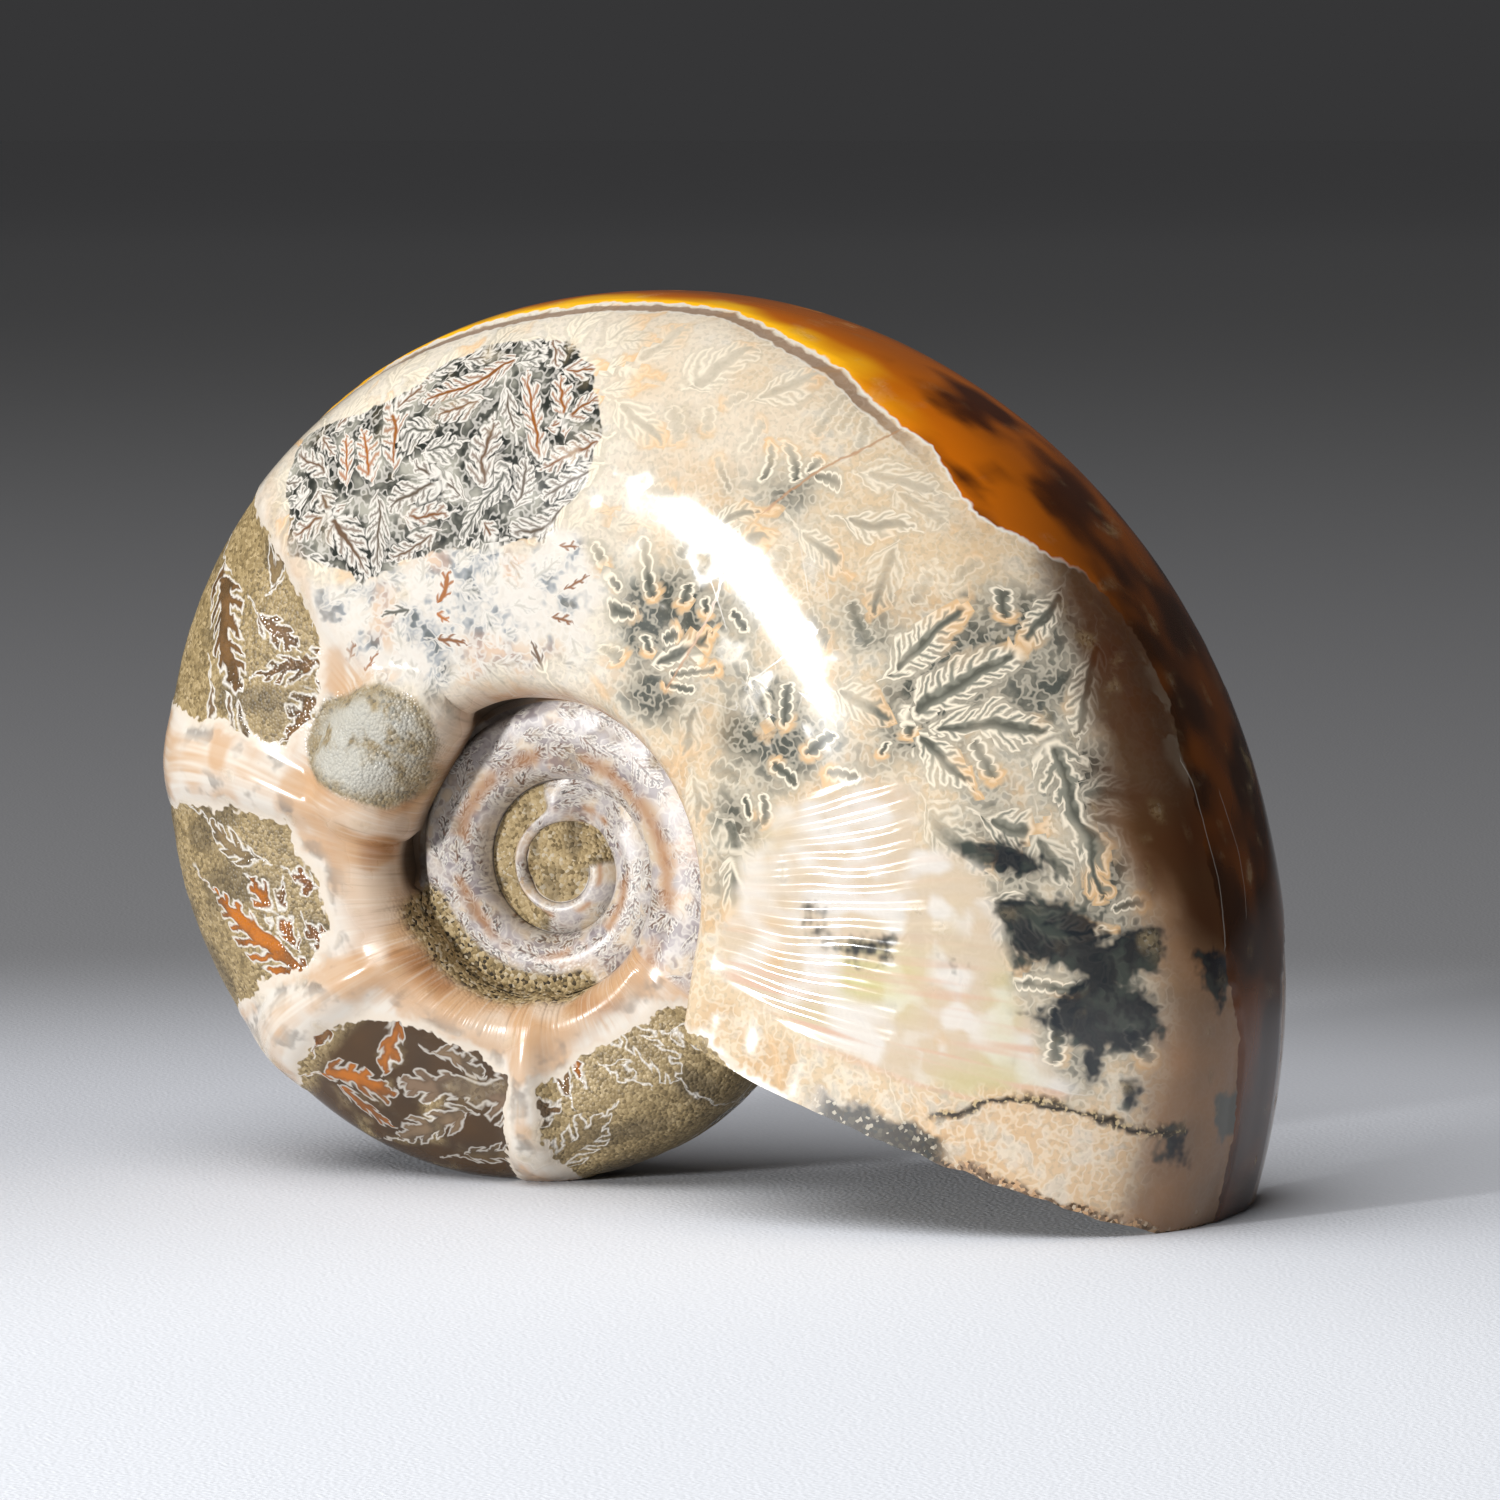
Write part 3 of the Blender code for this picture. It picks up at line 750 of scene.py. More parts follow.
# Runs between points shorter or more level than this would divide by zero
SHORTEST = 1e-18
LEVEL_RUN = 1e-12

# Where dark rock shows through the flank: angle, share, reach in millimetres and strength
SHADE_SPOTS = (
    (57, 0.53, 3.0, 1.0), (60, 0.50, 2.5, 0.8), (51, 0.53, 2.5, 0.7), (51, 0.40, 2.2, 0.8),
    (45, 0.41, 2.2, 0.5), (30, 0.47, 2.5, 0.7), (32, 0.53, 2.5, 0.7), (24, 0.52, 3.0, 0.5),
    (13, 0.41, 2.2, 0.9), (18, 0.38, 2.2, 0.7), (5, 0.35, 2.2, 0.6), (51, 0.79, 3.0, 0.9),
    (26, 0.87, 3.5, 0.8), (25, 0.93, 2.5, 0.7), (25, 0.81, 3.0, 0.8), (22, 0.74, 3.5, 0.8),
    (19, 0.89, 3.0, 0.6), (19, 0.68, 2.5, 0.7), (20, 0.95, 3.5, 0.5), (10, 0.88, 3.0, 0.8),
    (9, 0.90, 2.5, 0.6), (3, 0.89, 3.0, 0.8), (10, 0.75, 3.0, 0.3), (33, 0.72, 4.0, 0.5),
    (52, 0.63, 4.0, 0.4), (45, 0.59, 3.0, 0.4), (22, 0.57, 3.0, 0.5), (22, 0.81, 8.0, 0.4),
    (9, 0.82, 6.0, 0.3), (57, 0.50, 7.0, 0.3), (33, 0.50, 7.0, 0.2), (20, 0.48, 6.0, 0.2),
)
# Where the flank is plain: a warmer cream
PLAIN_SPOTS = (
    (68, 0.87, 6.0, 1.0), (60, 0.87, 5.0, 0.8), (40, 0.85, 6.0, 1.0), (33, 0.90, 4.0, 0.7),
    (76, 0.93, 5.0, 0.9), (36, 0.42, 3.0, 0.7), (5, 0.42, 4.0, 0.7), (66, 0.75, 4.0, 0.5),
)
# Leaves on the last half whorl, as base (angle, share), tip (angle, share) and half width in
# millimetres, by how clearly they show
CLEAR_LEAVES = (
    (23, 0.70, 19, 0.69, 0.8), (29, 0.90, 26, 0.88, 0.9), (16, 0.77, 12, 0.78, 0.9),
    (-8, 0.76, -8, 0.85, 0.9), (-10, 0.82, -15, 0.82, 0.8), (-11, 0.90, -14, 0.92, 0.9),
    (-1, 0.89, -1, 0.93, 0.8), (65, 0.61, 59, 0.55, 0.8), (66, 0.50, 61, 0.51, 0.9),
    (69, 0.55, 65, 0.53, 0.7), (55, 0.48, 52, 0.51, 0.9), (55, 0.58, 53, 0.54, 0.8),
    (65, 0.45, 60, 0.42, 1.0), (58, 0.47, 55, 0.44, 0.6), (48, 0.44, 42, 0.51, 0.8),
    (48, 0.50, 45, 0.50, 0.6), (51, 0.57, 49, 0.55, 0.6), (47, 0.58, 43, 0.58, 0.7),
    (72, 0.59, 69, 0.55, 0.8), (41, 0.45, 48, 0.42, 0.7), (33, 0.57, 27, 0.53, 0.9),
    (23, 0.59, 21, 0.54, 0.9), (18, 0.51, 23, 0.49, 0.9), (18, 0.45, 13, 0.43, 0.6),
    (19, 0.42, 15, 0.41, 0.6), (19, 0.66, 17, 0.64, 0.5), (16, 0.60, 17, 0.55, 0.7),
    (51, 0.80, 55, 0.85, 0.8), (51, 0.82, 51, 0.86, 0.9), (50, 0.82, 47, 0.85, 0.8),
    (54, 0.78, 56, 0.83, 0.6),
)
FAINT_LEAVES = (
    (59, 0.62, 59, 0.66, 0.8), (35, 0.50, 27, 0.50, 1.2), (22, 0.42, 28, 0.40, 1.0),
    (57, 0.75, 62, 0.79, 0.6), (59, 0.80, 58, 0.85, 0.8), (54, 0.95, 53, 0.88, 0.9),
    (52, 0.95, 51, 0.90, 0.8), (50, 0.94, 48, 0.90, 0.8), (69, 0.83, 67, 0.78, 1.2),
    (65, 0.85, 64, 0.81, 1.0), (32, 0.80, 34, 0.86, 1.2), (31, 0.84, 32, 0.90, 0.9),
    (34, 0.85, 29, 0.86, 1.0), (62, 0.88, 64, 0.86, 0.9), (42, 0.66, 34, 0.66, 1.0),
    (37, 0.73, 31, 0.70, 1.0), (12, 0.60, 6, 0.57, 0.9), (66, 0.66, 60, 0.70, 0.9),
    (70, 0.70, 64, 0.72, 1.0), (40, 0.60, 34, 0.62, 0.9), (46, 0.66, 48, 0.72, 0.9),
)
FROND_LEAVES = (
    (27, 0.71, 29, 0.85, 2.4), (22, 0.70, 23, 0.87, 2.3), (19, 0.73, 15, 0.86, 2.2),
    (19, 0.70, 12, 0.74, 2.0), (27, 0.95, 23, 0.87, 1.6), (21, 0.95, 15, 0.90, 1.7),
    (53, 0.44, 47, 0.53, 2.0), (36, 0.53, 28, 0.50, 1.9), (-1, 0.74, -3, 0.86, 1.7),
)
BIG_LEAVES = ((14, 0.86, 1, 0.88, 3.6),)
# Leaves of the older zones, with their tone as well: 0 is grey, 0.5 rusty and 1 orange
DARK_LEAVES = (
    (91, 0.89, 103, 0.88, 2.4, 0.5), (86, 0.75, 88, 0.86, 1.8, 0.6), (82, 0.78, 84, 0.87, 1.5, 0.6),
    (84, 0.79, 78, 0.83, 1.6, 0.5), (76, 0.76, 85, 0.73, 1.5, 0.4), (94, 0.71, 93, 0.80, 1.5, 0.2),
    (102, 0.78, 97, 0.78, 1.4, 0.0), (102, 0.82, 107, 0.82, 1.4, 0.0),
    (108, 0.80, 108, 0.90, 1.7, 0.6), (116, 0.82, 115, 0.90, 1.5, 0.7),
    (112, 0.80, 112, 0.89, 1.4, 0.7), (121, 0.83, 119, 0.67, 2.0, 0.2),
    (107, 0.70, 101, 0.68, 1.4, 0.4), (88, 0.66, 88, 0.74, 1.6, 0.1),
    (80, 0.66, 87, 0.60, 1.5, 0.1), (91, 0.72, 97, 0.63, 1.6, 0.0), (77, 0.72, 84, 0.68, 1.5, 0.1),
    (101, 0.73, 110, 0.73, 1.6, 0.1), (112, 0.75, 116, 0.66, 1.5, 0.1),
    (103, 0.65, 112, 0.65, 1.4, 0.2), (98, 0.70, 104, 0.77, 1.5, 0.1),
    (119, 0.78, 127, 0.80, 1.5, 0.3), (120, 0.87, 123, 0.94, 1.3, 0.2),
    (95, 0.84, 101, 0.84, 1.4, 0.3),
)
MILKY_LEAVES = (
    (106, 0.53, 102, 0.57, 1.1, 0.7), (106, 0.51, 103, 0.485, 0.8, 0.8),
    (108, 0.46, 101, 0.43, 0.9, 0.5), (130, 0.56, 127, 0.59, 0.5, 0.5),
    (139, 0.56, 137, 0.60, 0.6, 0.5), (128, 0.51, 124, 0.53, 0.5, 0.6),
    (77, 0.51, 72, 0.53, 0.6, 0.5), (80, 0.60, 76, 0.59, 0.7, 0.5), (78, 0.46, 73, 0.46, 0.6, 0.5),
    (79, 0.37, 83, 0.41, 1.0, 0.2), (113, 0.55, 118, 0.57, 0.8, 0.0),
)
# In the windows a tone of -0.5 is a dull pinkish brown, and -1 the rock's own olive
WINDOW_LEAVES = (
    (142, 0.93, 152, 0.78, 3.0, -0.3), (135, 0.61, 147, 0.72, 2.2, -0.3),
    (140, 0.57, 153, 0.63, 1.8, -0.3), (140, 0.79, 138, 0.69, 2.2, -0.4),
    (134, 0.82, 127, 0.84, 1.8, -0.8), (155, 0.85, 161, 0.79, 0.4, -0.6),
    (154, 0.79, 159, 0.73, 0.4, -0.6), (154, 0.75, 162, 0.68, 0.4, -0.6),
    (203, 0.68, 188, 0.84, 3.4, 1.0), (197, 0.66, 184, 0.72, 1.8, 0.9),
    (192, 0.70, 185, 0.65, 1.4, 0.6), (202, 0.57, 194, 0.59, 1.6, 0.4),
    (184, 0.55, 182, 0.60, 1.0, 0.5), (224, 0.87, 234, 0.74, 2.2, 0.9),
    (228, 0.89, 237, 0.88, 1.5, 0.9), (226, 0.56, 231, 0.68, 1.2, 0.8),
    (267, 0.65, 237, 0.69, 3.2, -0.5), (250, 0.74, 240, 0.91, 2.4, -0.6),
    (254, 0.92, 267, 0.86, 1.9, -0.9), (216, 0.72, 218, 0.80, 1.0, 0.8),
    (303, 0.57, 305, 0.83, 3.0, -1.0), (272, 0.92, 286, 0.80, 2.8, -0.9),
    (268, 0.74, 275, 0.68, 1.6, -0.2), (279, 0.66, 276, 0.57, 1.6, -0.3),
    (283, 0.62, 282, 0.57, 0.8, 0.9), (240, 0.57, 254, 0.60, 1.2, -0.6),
    (179, 0.70, 176, 0.82, 1.6, -0.8), (292, 0.66, 296, 0.74, 1.6, -1.0),
    (313, 0.72, 318, 0.88, 2.4, -1.0),
)
FINGER_LEAF = 0.42  # millimetres to a unit of leaf
FROND_LEAF = 0.60
BIG_LEAF = 0.95
DARK_LEAF = 0.52
MILKY_LEAF = 0.45
WINDOW_LEAF = 0.80
INNER_LEAF = 0.36
BACK_LEAF = 0.90
# How rounded a leaf's branches are, from thin twigs at 0 to one smooth finger at 1
FINGER_STOUT = 1.0
TWIG_STOUT = 0.1
DARK_STOUT = 0.2
BACK_STOUT = 0.25
MILKY_GAP_STOUT = 0.3
BIG_STOUT = 0.35
MILKY_STOUT = 0.5
OAK_STOUT = 0.55
BACK_SUTURES = (-10.0, 330.0, 17.0)  # from, to and apart, in degrees
INNER_SUTURES = (330.0, 1130.0, 13.0)
OUTER_LOBES = (0.35, 0.48, 0.61, 0.74, 0.86, 0.955, 1.10)
INNER_LOBES = (0.42, 0.52, 0.62, 0.72)
FULL_WIDTH = 3.0
# Where smaller leaves fill the gaps: angles from and to, shares from and to, millimetres apart
FLANK_GAPS = (-7.0, 76.0, 0.37, 0.93, 4.6)
DARK_GAPS = (76.0, 129.0, 0.62, 0.94, 3.2)
MILKY_GAPS = (70.0, 140.0, 0.39, 0.66, 3.4)
LEAF_SEED = 11
# How much the leaves that are placed by rule vary
SUTURE_JITTER = 0.22
LOBE_JITTER = 0.045
TIP_JITTER = 0.12
SUTURE_REACH = (0.6, 1.1)
SUTURE_TONES = (0.0, 0.0, 0.1, 0.3, 0.6)
GAP_TURN = 1.3
GAP_JITTER = 0.3
GAP_REACH = (0.9, 1.5)
GAP_CLEARNESS = (0.5, 1.0)
GAP_TONES = (0.0, 0.0, 0.1, 0.3, 0.5)
GAP_CLEARANCE = 0.6


def placed_stems(leaves, leaf, shown, stout):
    """Stems given one by one: base, tip, leaf size, half width, tone, clearness and roundness."""
    stems = []
    for angle_a, share_a, angle_b, share_b, width, *tone in leaves:
        start = flat_place(math.radians(angle_a), share_a)
        end = flat_place(math.radians(angle_b), share_b)
        stems.append((start, end, leaf, width, tone[0] if tone else 0.0, shown, stout))
    return stems


def suture_stems(sutures, lobes, leaf, shown, stout, seed):
    """Stems that grow forward from each suture, one from each of its lobes."""
    chance = random.Random(seed)
    first, last, apart = sutures
    stems = []
    for k in range(int((last - first) / apart) + 1):
        for lobe in lobes:
            angle = first + k * apart + chance.uniform(-SUTURE_JITTER, SUTURE_JITTER) * apart
            share = lobe * (1.0 + chance.uniform(-LOBE_JITTER, LOBE_JITTER))
            ahead = angle - apart * chance.uniform(*SUTURE_REACH)
            start = flat_place(math.radians(angle), share)
            tip_share = share * (1.0 + chance.uniform(-TIP_JITTER, TIP_JITTER))
            end = flat_place(math.radians(ahead), tip_share)
            tone = chance.choice(SUTURE_TONES)
            stems.append((start, end, leaf, FULL_WIDTH, tone, shown, stout))
    return stems


def gap_stems(gaps, placed, leaf, width, shown, stout, seed):
    """Smaller leaves, turned at random, wherever no placed leaf is near."""
    chance = random.Random(seed)
    first, last, low, high, apart = gaps
    apart = apart * MM
    start, ahead, length = stem_runs(placed)
    stems = []
    share = low
    while share < high:
        step = math.degrees(apart / (share * APERTURE_RADIUS))
        angle = first + chance.random() * step
        while angle < last:
            heading = chance.uniform(-GAP_TURN, GAP_TURN)
            reach = apart * chance.uniform(*GAP_REACH) / APERTURE_RADIUS
            base = math.radians(angle + chance.uniform(-GAP_JITTER, GAP_JITTER) * step)
            ahead_angle = base - reach * math.cos(heading) / share
            base_place = flat_place(base, share)
            tip_place = flat_place(ahead_angle, share + reach * math.sin(heading))
            middle = (base_place + tip_place)[None] / (2.0 * MM)
            clearness = shown * chance.uniform(*GAP_CLEARNESS)
            tone = chance.choice(GAP_TONES)
            if stem_distances(middle, start, ahead, length).min() * MM > GAP_CLEARANCE * apart:
                stems.append((base_place, tip_place, leaf, width, tone, clearness, stout))
            angle += step
        share += apart / APERTURE_RADIUS
    return stems


def stem_runs(stems):
    """The base, direction and length of each stem, in millimetres."""
    start = np.array([stem[0] for stem in stems]) / MM
    run = np.array([stem[1] for stem in stems]) / MM - start
    length = np.linalg.norm(run, axis=1)
    return start, run / length[:, None], length


def stems_of(side, inner):
    if inner:
        sutures = (INNER_SUTURES, INNER_LOBES, INNER_LEAF, 1.0, TWIG_STOUT, LEAF_SEED + side)
        return suture_stems(*sutures)
    windows = placed_stems(WINDOW_LEAVES, WINDOW_LEAF, 1.0, OAK_STOUT)
    if side == BACK:
        sutures = (BACK_SUTURES, OUTER_LOBES, BACK_LEAF, 0.8, BACK_STOUT, LEAF_SEED + 5)
        return windows + suture_stems(*sutures)
    stems = placed_stems(CLEAR_LEAVES, FINGER_LEAF, 1.0, FINGER_STOUT)
    stems += placed_stems(FAINT_LEAVES, FINGER_LEAF, 0.5, FINGER_STOUT)
    stems += placed_stems(FROND_LEAVES, FROND_LEAF, 1.0, OAK_STOUT)
    stems += placed_stems(BIG_LEAVES, BIG_LEAF, 1.0, BIG_STOUT)
    stems += placed_stems(DARK_LEAVES, DARK_LEAF, 1.0, DARK_STOUT)
    stems += placed_stems(MILKY_LEAVES, MILKY_LEAF, 1.0, MILKY_STOUT) + windows
    flank = gap_stems(FLANK_GAPS, stems, FROND_LEAF, 2.8, 0.9, OAK_STOUT, LEAF_SEED + 1)
    dark = gap_stems(DARK_GAPS, stems, DARK_LEAF, 1.4, 1.0, DARK_STOUT, LEAF_SEED + 2)
    milky = gap_stems(MILKY_GAPS, stems, MILKY_LEAF, 1.1, 0.65, MILKY_GAP_STOUT, LEAF_SEED + 3)
    return stems + flank + dark + milky


def mesh_corners(mesh):
    """The vertex of each corner, and each face's first corner and number of corners."""
    vertices = np.empty(len(mesh.loops), np.int32)
    mesh.loops.foreach_get("vertex_index", vertices)
    starts = np.empty(len(mesh.polygons), np.int32)
    totals = np.empty(len(mesh.polygons), np.int32)
    mesh.polygons.foreach_get("loop_start", starts)
    mesh.polygons.foreach_get("loop_total", totals)
    return vertices, starts, totals


def add_attribute(mesh, name, values, domain="POINT"):
    """Hands numbers or vectors to the material, one for each vertex or each corner of a face."""
    kind, key = ("FLOAT_VECTOR", "vector") if values.ndim == 2 else ("FLOAT", "value")
    attribute = mesh.attributes.new(name, kind, domain)
    attribute.data.foreach_set(key, values.astype(np.float32).ravel())


def lead_over_next(flat, vertices, own, runs):
    """How much nearer each corner is to its face's own stem than to the next nearest one."""
    used, rows = np.unique(vertices, return_inverse=True)
    away = stem_distances(flat[used], *runs)
    order = np.argpartition(away, 1, axis=1)[:, :2]
    other = np.where(order[rows, 0] == own, order[rows, 1], order[rows, 0])
    return away[rows, other] - away[rows, own]


def lay_leaves(mesh, facts, places):
    """For each corner of each face: where it is beside the stem nearest to the face.

    The first vector holds the place along and across the stem, and the stem's length. The second
    holds the distance to the next stem's ground, the stem's number and its leaf size, and the third
    the leaf's half width, its tone and how clearly it shows. One more number is how rounded it is.
    """
    vertices, starts, totals = mesh_corners(mesh)
    face_of = np.repeat(np.arange(len(starts)), totals)
    sway = STEM_SWAY * np.where(facts[:, WHORL] > 1.0, INNER_SWAY, 1.0)[:, None]
    flat = facts[:, (FLAT_X, FLAT_Z)] / MM + two_clouds(places, STEM_BENDS) * sway
    middles = np.add.reduceat(facts[vertices], starts, axis=0) / totals[:, None]
    flat_middles = np.add.reduceat(flat[vertices], starts, axis=0) / totals[:, None]
    beside, cell, kind = (np.zeros((len(vertices), 3)) for _ in range(3))
    rounded = np.zeros(len(vertices))
    for side in (FRONT, BACK):
        for inner in (False, True):
            chosen = (middles[:, SIDE] * side > 0.0) & ((middles[:, WHORL] > 1.0) == inner)
            stems = stems_of(side, inner)
            runs = stem_runs(stems)
            start, ahead, length = runs
            nearest = np.zeros(len(starts), int)
            nearest[chosen] = stem_distances(flat_middles[chosen], *runs).argmin(axis=1)
            corners = chosen[face_of]
            own = nearest[face_of[corners]]
            rest = lead_over_next(flat, vertices[corners], own, runs)
            offset = flat[vertices[corners]] - start[own]
            along = np.sum(offset * ahead[own], axis=1)
            across = offset[:, 0] * -ahead[own, 1] + offset[:, 1] * ahead[own, 0]
            leaf, width, tone, shown, stout = np.array([stem[2:] for stem in stems])[own].T
            beside[corners] = np.stack((along / leaf, across / leaf, length[own] / leaf), axis=1)
            cell[corners] = np.stack((0.5 * rest / leaf, own + 0.5, leaf), axis=1)
            kind[corners] = np.stack((width / leaf, tone, shown), axis=1)
            rounded[corners] = stout
    for name, values in (("beside", beside), ("cell", cell), ("kind", kind), ("stout", rounded)):
        add_attribute(mesh, name, values, "CORNER")


def stem_distances(places, start, ahead, length):
    """How far each place is from each stem, worked out a few thousand places at a time."""
    parts = []
    for some in np.array_split(places, len(places) // PLACES_AT_ONCE + 1):
        offset = some[:, None, :] - start[None]
        along = offset[..., 0] * ahead[:, 0] + offset[..., 1] * ahead[:, 1]
        nearest = np.clip(along, 0.0, length)
        away_x = offset[..., 0] - nearest * ahead[:, 0]
        away_z = offset[..., 1] - nearest * ahead[:, 1]
        parts.append(np.sqrt(away_x * away_x + away_z * away_z).astype(np.float32))
    return np.concatenate(parts)


def spot_sum(flat, spots):
    """Soft round spots added up at each place."""
    total = np.zeros(len(flat))
    for angle, share, reach, strength in spots:
        away = np.linalg.norm(flat - flat_place(math.radians(angle), share), axis=1) / MM
        total += strength * np.exp(-((away / reach) ** 2))
    return total


def lattice(cells, seed):
    """A repeatable random number from 0 to 1 for each cell of a lattice."""
    mixed = seed * LATTICE_PRIMES[3]
    for axis in range(3):
        mixed = mixed ^ cells[:, axis] * LATTICE_PRIMES[axis]
    for shift, factor in LATTICE_MIXES:
        mixed = ((mixed ^ (mixed >> shift)) * factor) & LATTICE_TOP
    return (mixed ^ (mixed >> LATTICE_SHIFT)) / LATTICE_TOP


def clouds(places, size, seed, octaves=2):
    """Smooth noise from 0 to 1 at each place, with bumps of this size in millimetres."""
    total, weights = np.zeros(len(places)), 0.0
    for octave in range(octaves):
        scaled = places / (size * MM) * 2.0**octave + LATTICE_OFFSET
        cells = np.floor(scaled).astype(np.int64)
        part = scaled - cells
        part = part * part * (3.0 - 2.0 * part)
        value = np.zeros(len(places))
        for corner in np.ndindex(2, 2, 2):
            weight = np.prod(np.where(np.array(corner) == 1, part, 1.0 - part), axis=1)
            value += weight * lattice(cells + corner, seed + OCTAVE_SEED * octave)
        total += value * 0.5**octave
        weights += 0.5**octave
    return total / weights


def swell(places, size, seed, octaves=2):
    """The same noise, but from -1 to 1."""
    return 2.0 * clouds(places, size, seed, octaves) - 1.0


def two_clouds(places, bends):
    """Two noises about 0, side by side, for moving places in the rolled-out plane."""
    size, *seeds = bends
    return np.stack([clouds(places, size, seed) for seed in seeds], axis=1) - 0.5


def surface_maps(facts, places):
    """The attributes of the fine surface: depths within outlines in millimetres, and shares."""
    flat = facts[:, (FLAT_X, FLAT_Z)]
    front, outer = facts[:, SIDE] < 0.0, facts[:, WHORL] < 1.0
    on_back = smooth_step(0.0, BACK_SWAY_FULL, places[:, 1])[:, None]
    swayed = flat + BACK_SWAY * two_clouds(places, BACK_BENDS) * on_back
    maps = {name: facts[:, column] for name, column in KNOWN_FACTS.items()}
    for name, outlines in MOVED_ZONES.items():
        maps[name] = np.where(outer, deepest(swayed, outlines) / MM, OUTSIDE)
    maps["window"] = np.where(outer, deepest(flat, WINDOW_OUTLINES) / MM, OUTSIDE)
    for name, outlines in FRONT_ZONES.items():
        maps[name] = np.where(outer & front, deepest(flat, outlines) / MM, OUTSIDE)
    maps["shade"] = np.minimum(1.0, spot_sum(swayed, SHADE_SPOTS))
    maps["plain"] = np.minimum(1.0, spot_sum(flat, PLAIN_SPOTS))
    for name, lines in DRAWN_LINES.items():
        maps[name], beside = offset_from_lines(flat, lines)
        maps["by_" + name] = beside * outer * front
    from_rim = (facts[:, GROWTH] - APERTURE_ANGLE) * facts[:, SHARE] * APERTURE_RADIUS / MM
    maps["rim"] = np.where(outer, from_rim, PAST_RIM)
    for name, (size, seed) in CLOUDS.items():
        maps["cloud" + name] = clouds(places, size, seed)
    maps["flow"] = flow_map(facts, places)
    maps["fill"] = fill_map(facts)
    maps["gap"] = gap_and_shadow_map(facts)
    maps["polished"] = polished_map(facts, maps["cloud4b"])
    maps["rocky"] = rocky_map(maps)
    maps["fibrous"] = smooth_step(*FIBROUS_ROWS, facts[:, ROW]) * outer
    return maps


def flow_map(facts, places):
    """Noise drawn out along the venter, for the amber's streaks."""
    along = facts[:, GROWTH] * FLOW_ALONG
    drawn_out = (along, facts[:, SHARE] * FLOW_ACROSS, places[:, 1] * FLOW_SIDEWAYS)
    return clouds(np.stack(drawn_out, axis=1) * MM, 1.0, FLOW_SEED, 3)


def fill_map(facts):
    """Where rock fills the seam: at the outer whorl's foot, and on the whorl beside it."""
    turned, row = facts[:, GROWTH], facts[:, ROW]
    foot = seam_fill(turned) / SEAM_FILL * (1.0 - smooth_step(*FOOT_FILL, np.abs(1.0 - row)))
    next_fill = seam_fill(turned - FULL_TURN) / SEAM_FILL
    beside = next_fill * (1.0 - smooth_step(*BESIDE_FILL, row))
    return np.where(facts[:, WHORL] < 1.0, foot, beside)


def gap_window(turned):
    """The angles over which a gap, sunk and darkened with painted shadow, is left between the
    umbilical wall and the next whorl.
    """
    return smooth_step(*GAP_OPENS, turned) * smooth_step(*GAP_CLOSES, turned)


def gap_and_shadow_map(facts):
    """The gap at the foot of the wall and on the next whorl, and the pit beside the core: how far
    each is sunk and darkened with painted shadow.
    """
    turned, row, whorl = facts[:, GROWTH], facts[:, ROW], facts[:, WHORL]
    at_wall = gap_window(turned) * smooth_step(*GAP_AT_WALL, row)
    at_whorl = gap_window(turned - FULL_TURN) * smooth_step(*GAP_AT_WHORL, row)
    from_pit = (facts[:, (FLAT_X, FLAT_Z)] - np.array(PIT)) / np.array(PIT_SIZE)
    pit = np.exp(-np.sum(from_pit * from_pit, axis=1)) * (whorl > PIT_WHORL)
    return np.maximum(np.where(whorl < 1.0, at_wall, at_whorl), pit)


def polished_map(facts, cloud):
    """Where the brown window is polished smooth."""
    turned = facts[:, GROWTH]
    brown = smooth_step(*BROWN_WINDOW[:2], turned) - smooth_step(*BROWN_WINDOW[2:], turned)
    return brown * smooth_step(*POLISHED_CLOUD, cloud)


def rocky_map(maps):
    """Where the surface is made of sand grains."""
    ragged = maps["window"] + WINDOW_RAGGED * (maps["cloud2a"] - 0.5)
    rocky = smooth_step(0.0, 0.5, ragged) * WINDOW_ROUGH * (1.0 - maps["polished"])
    rocky = np.maximum(rocky, smooth_step(0.05, 0.25, maps["core"]))
    for name in ("fill", "broken"):
        rocky = np.maximum(rocky, maps[name])
    return np.maximum(rocky, smooth_step(-0.4, 0.4, maps["lump"]))


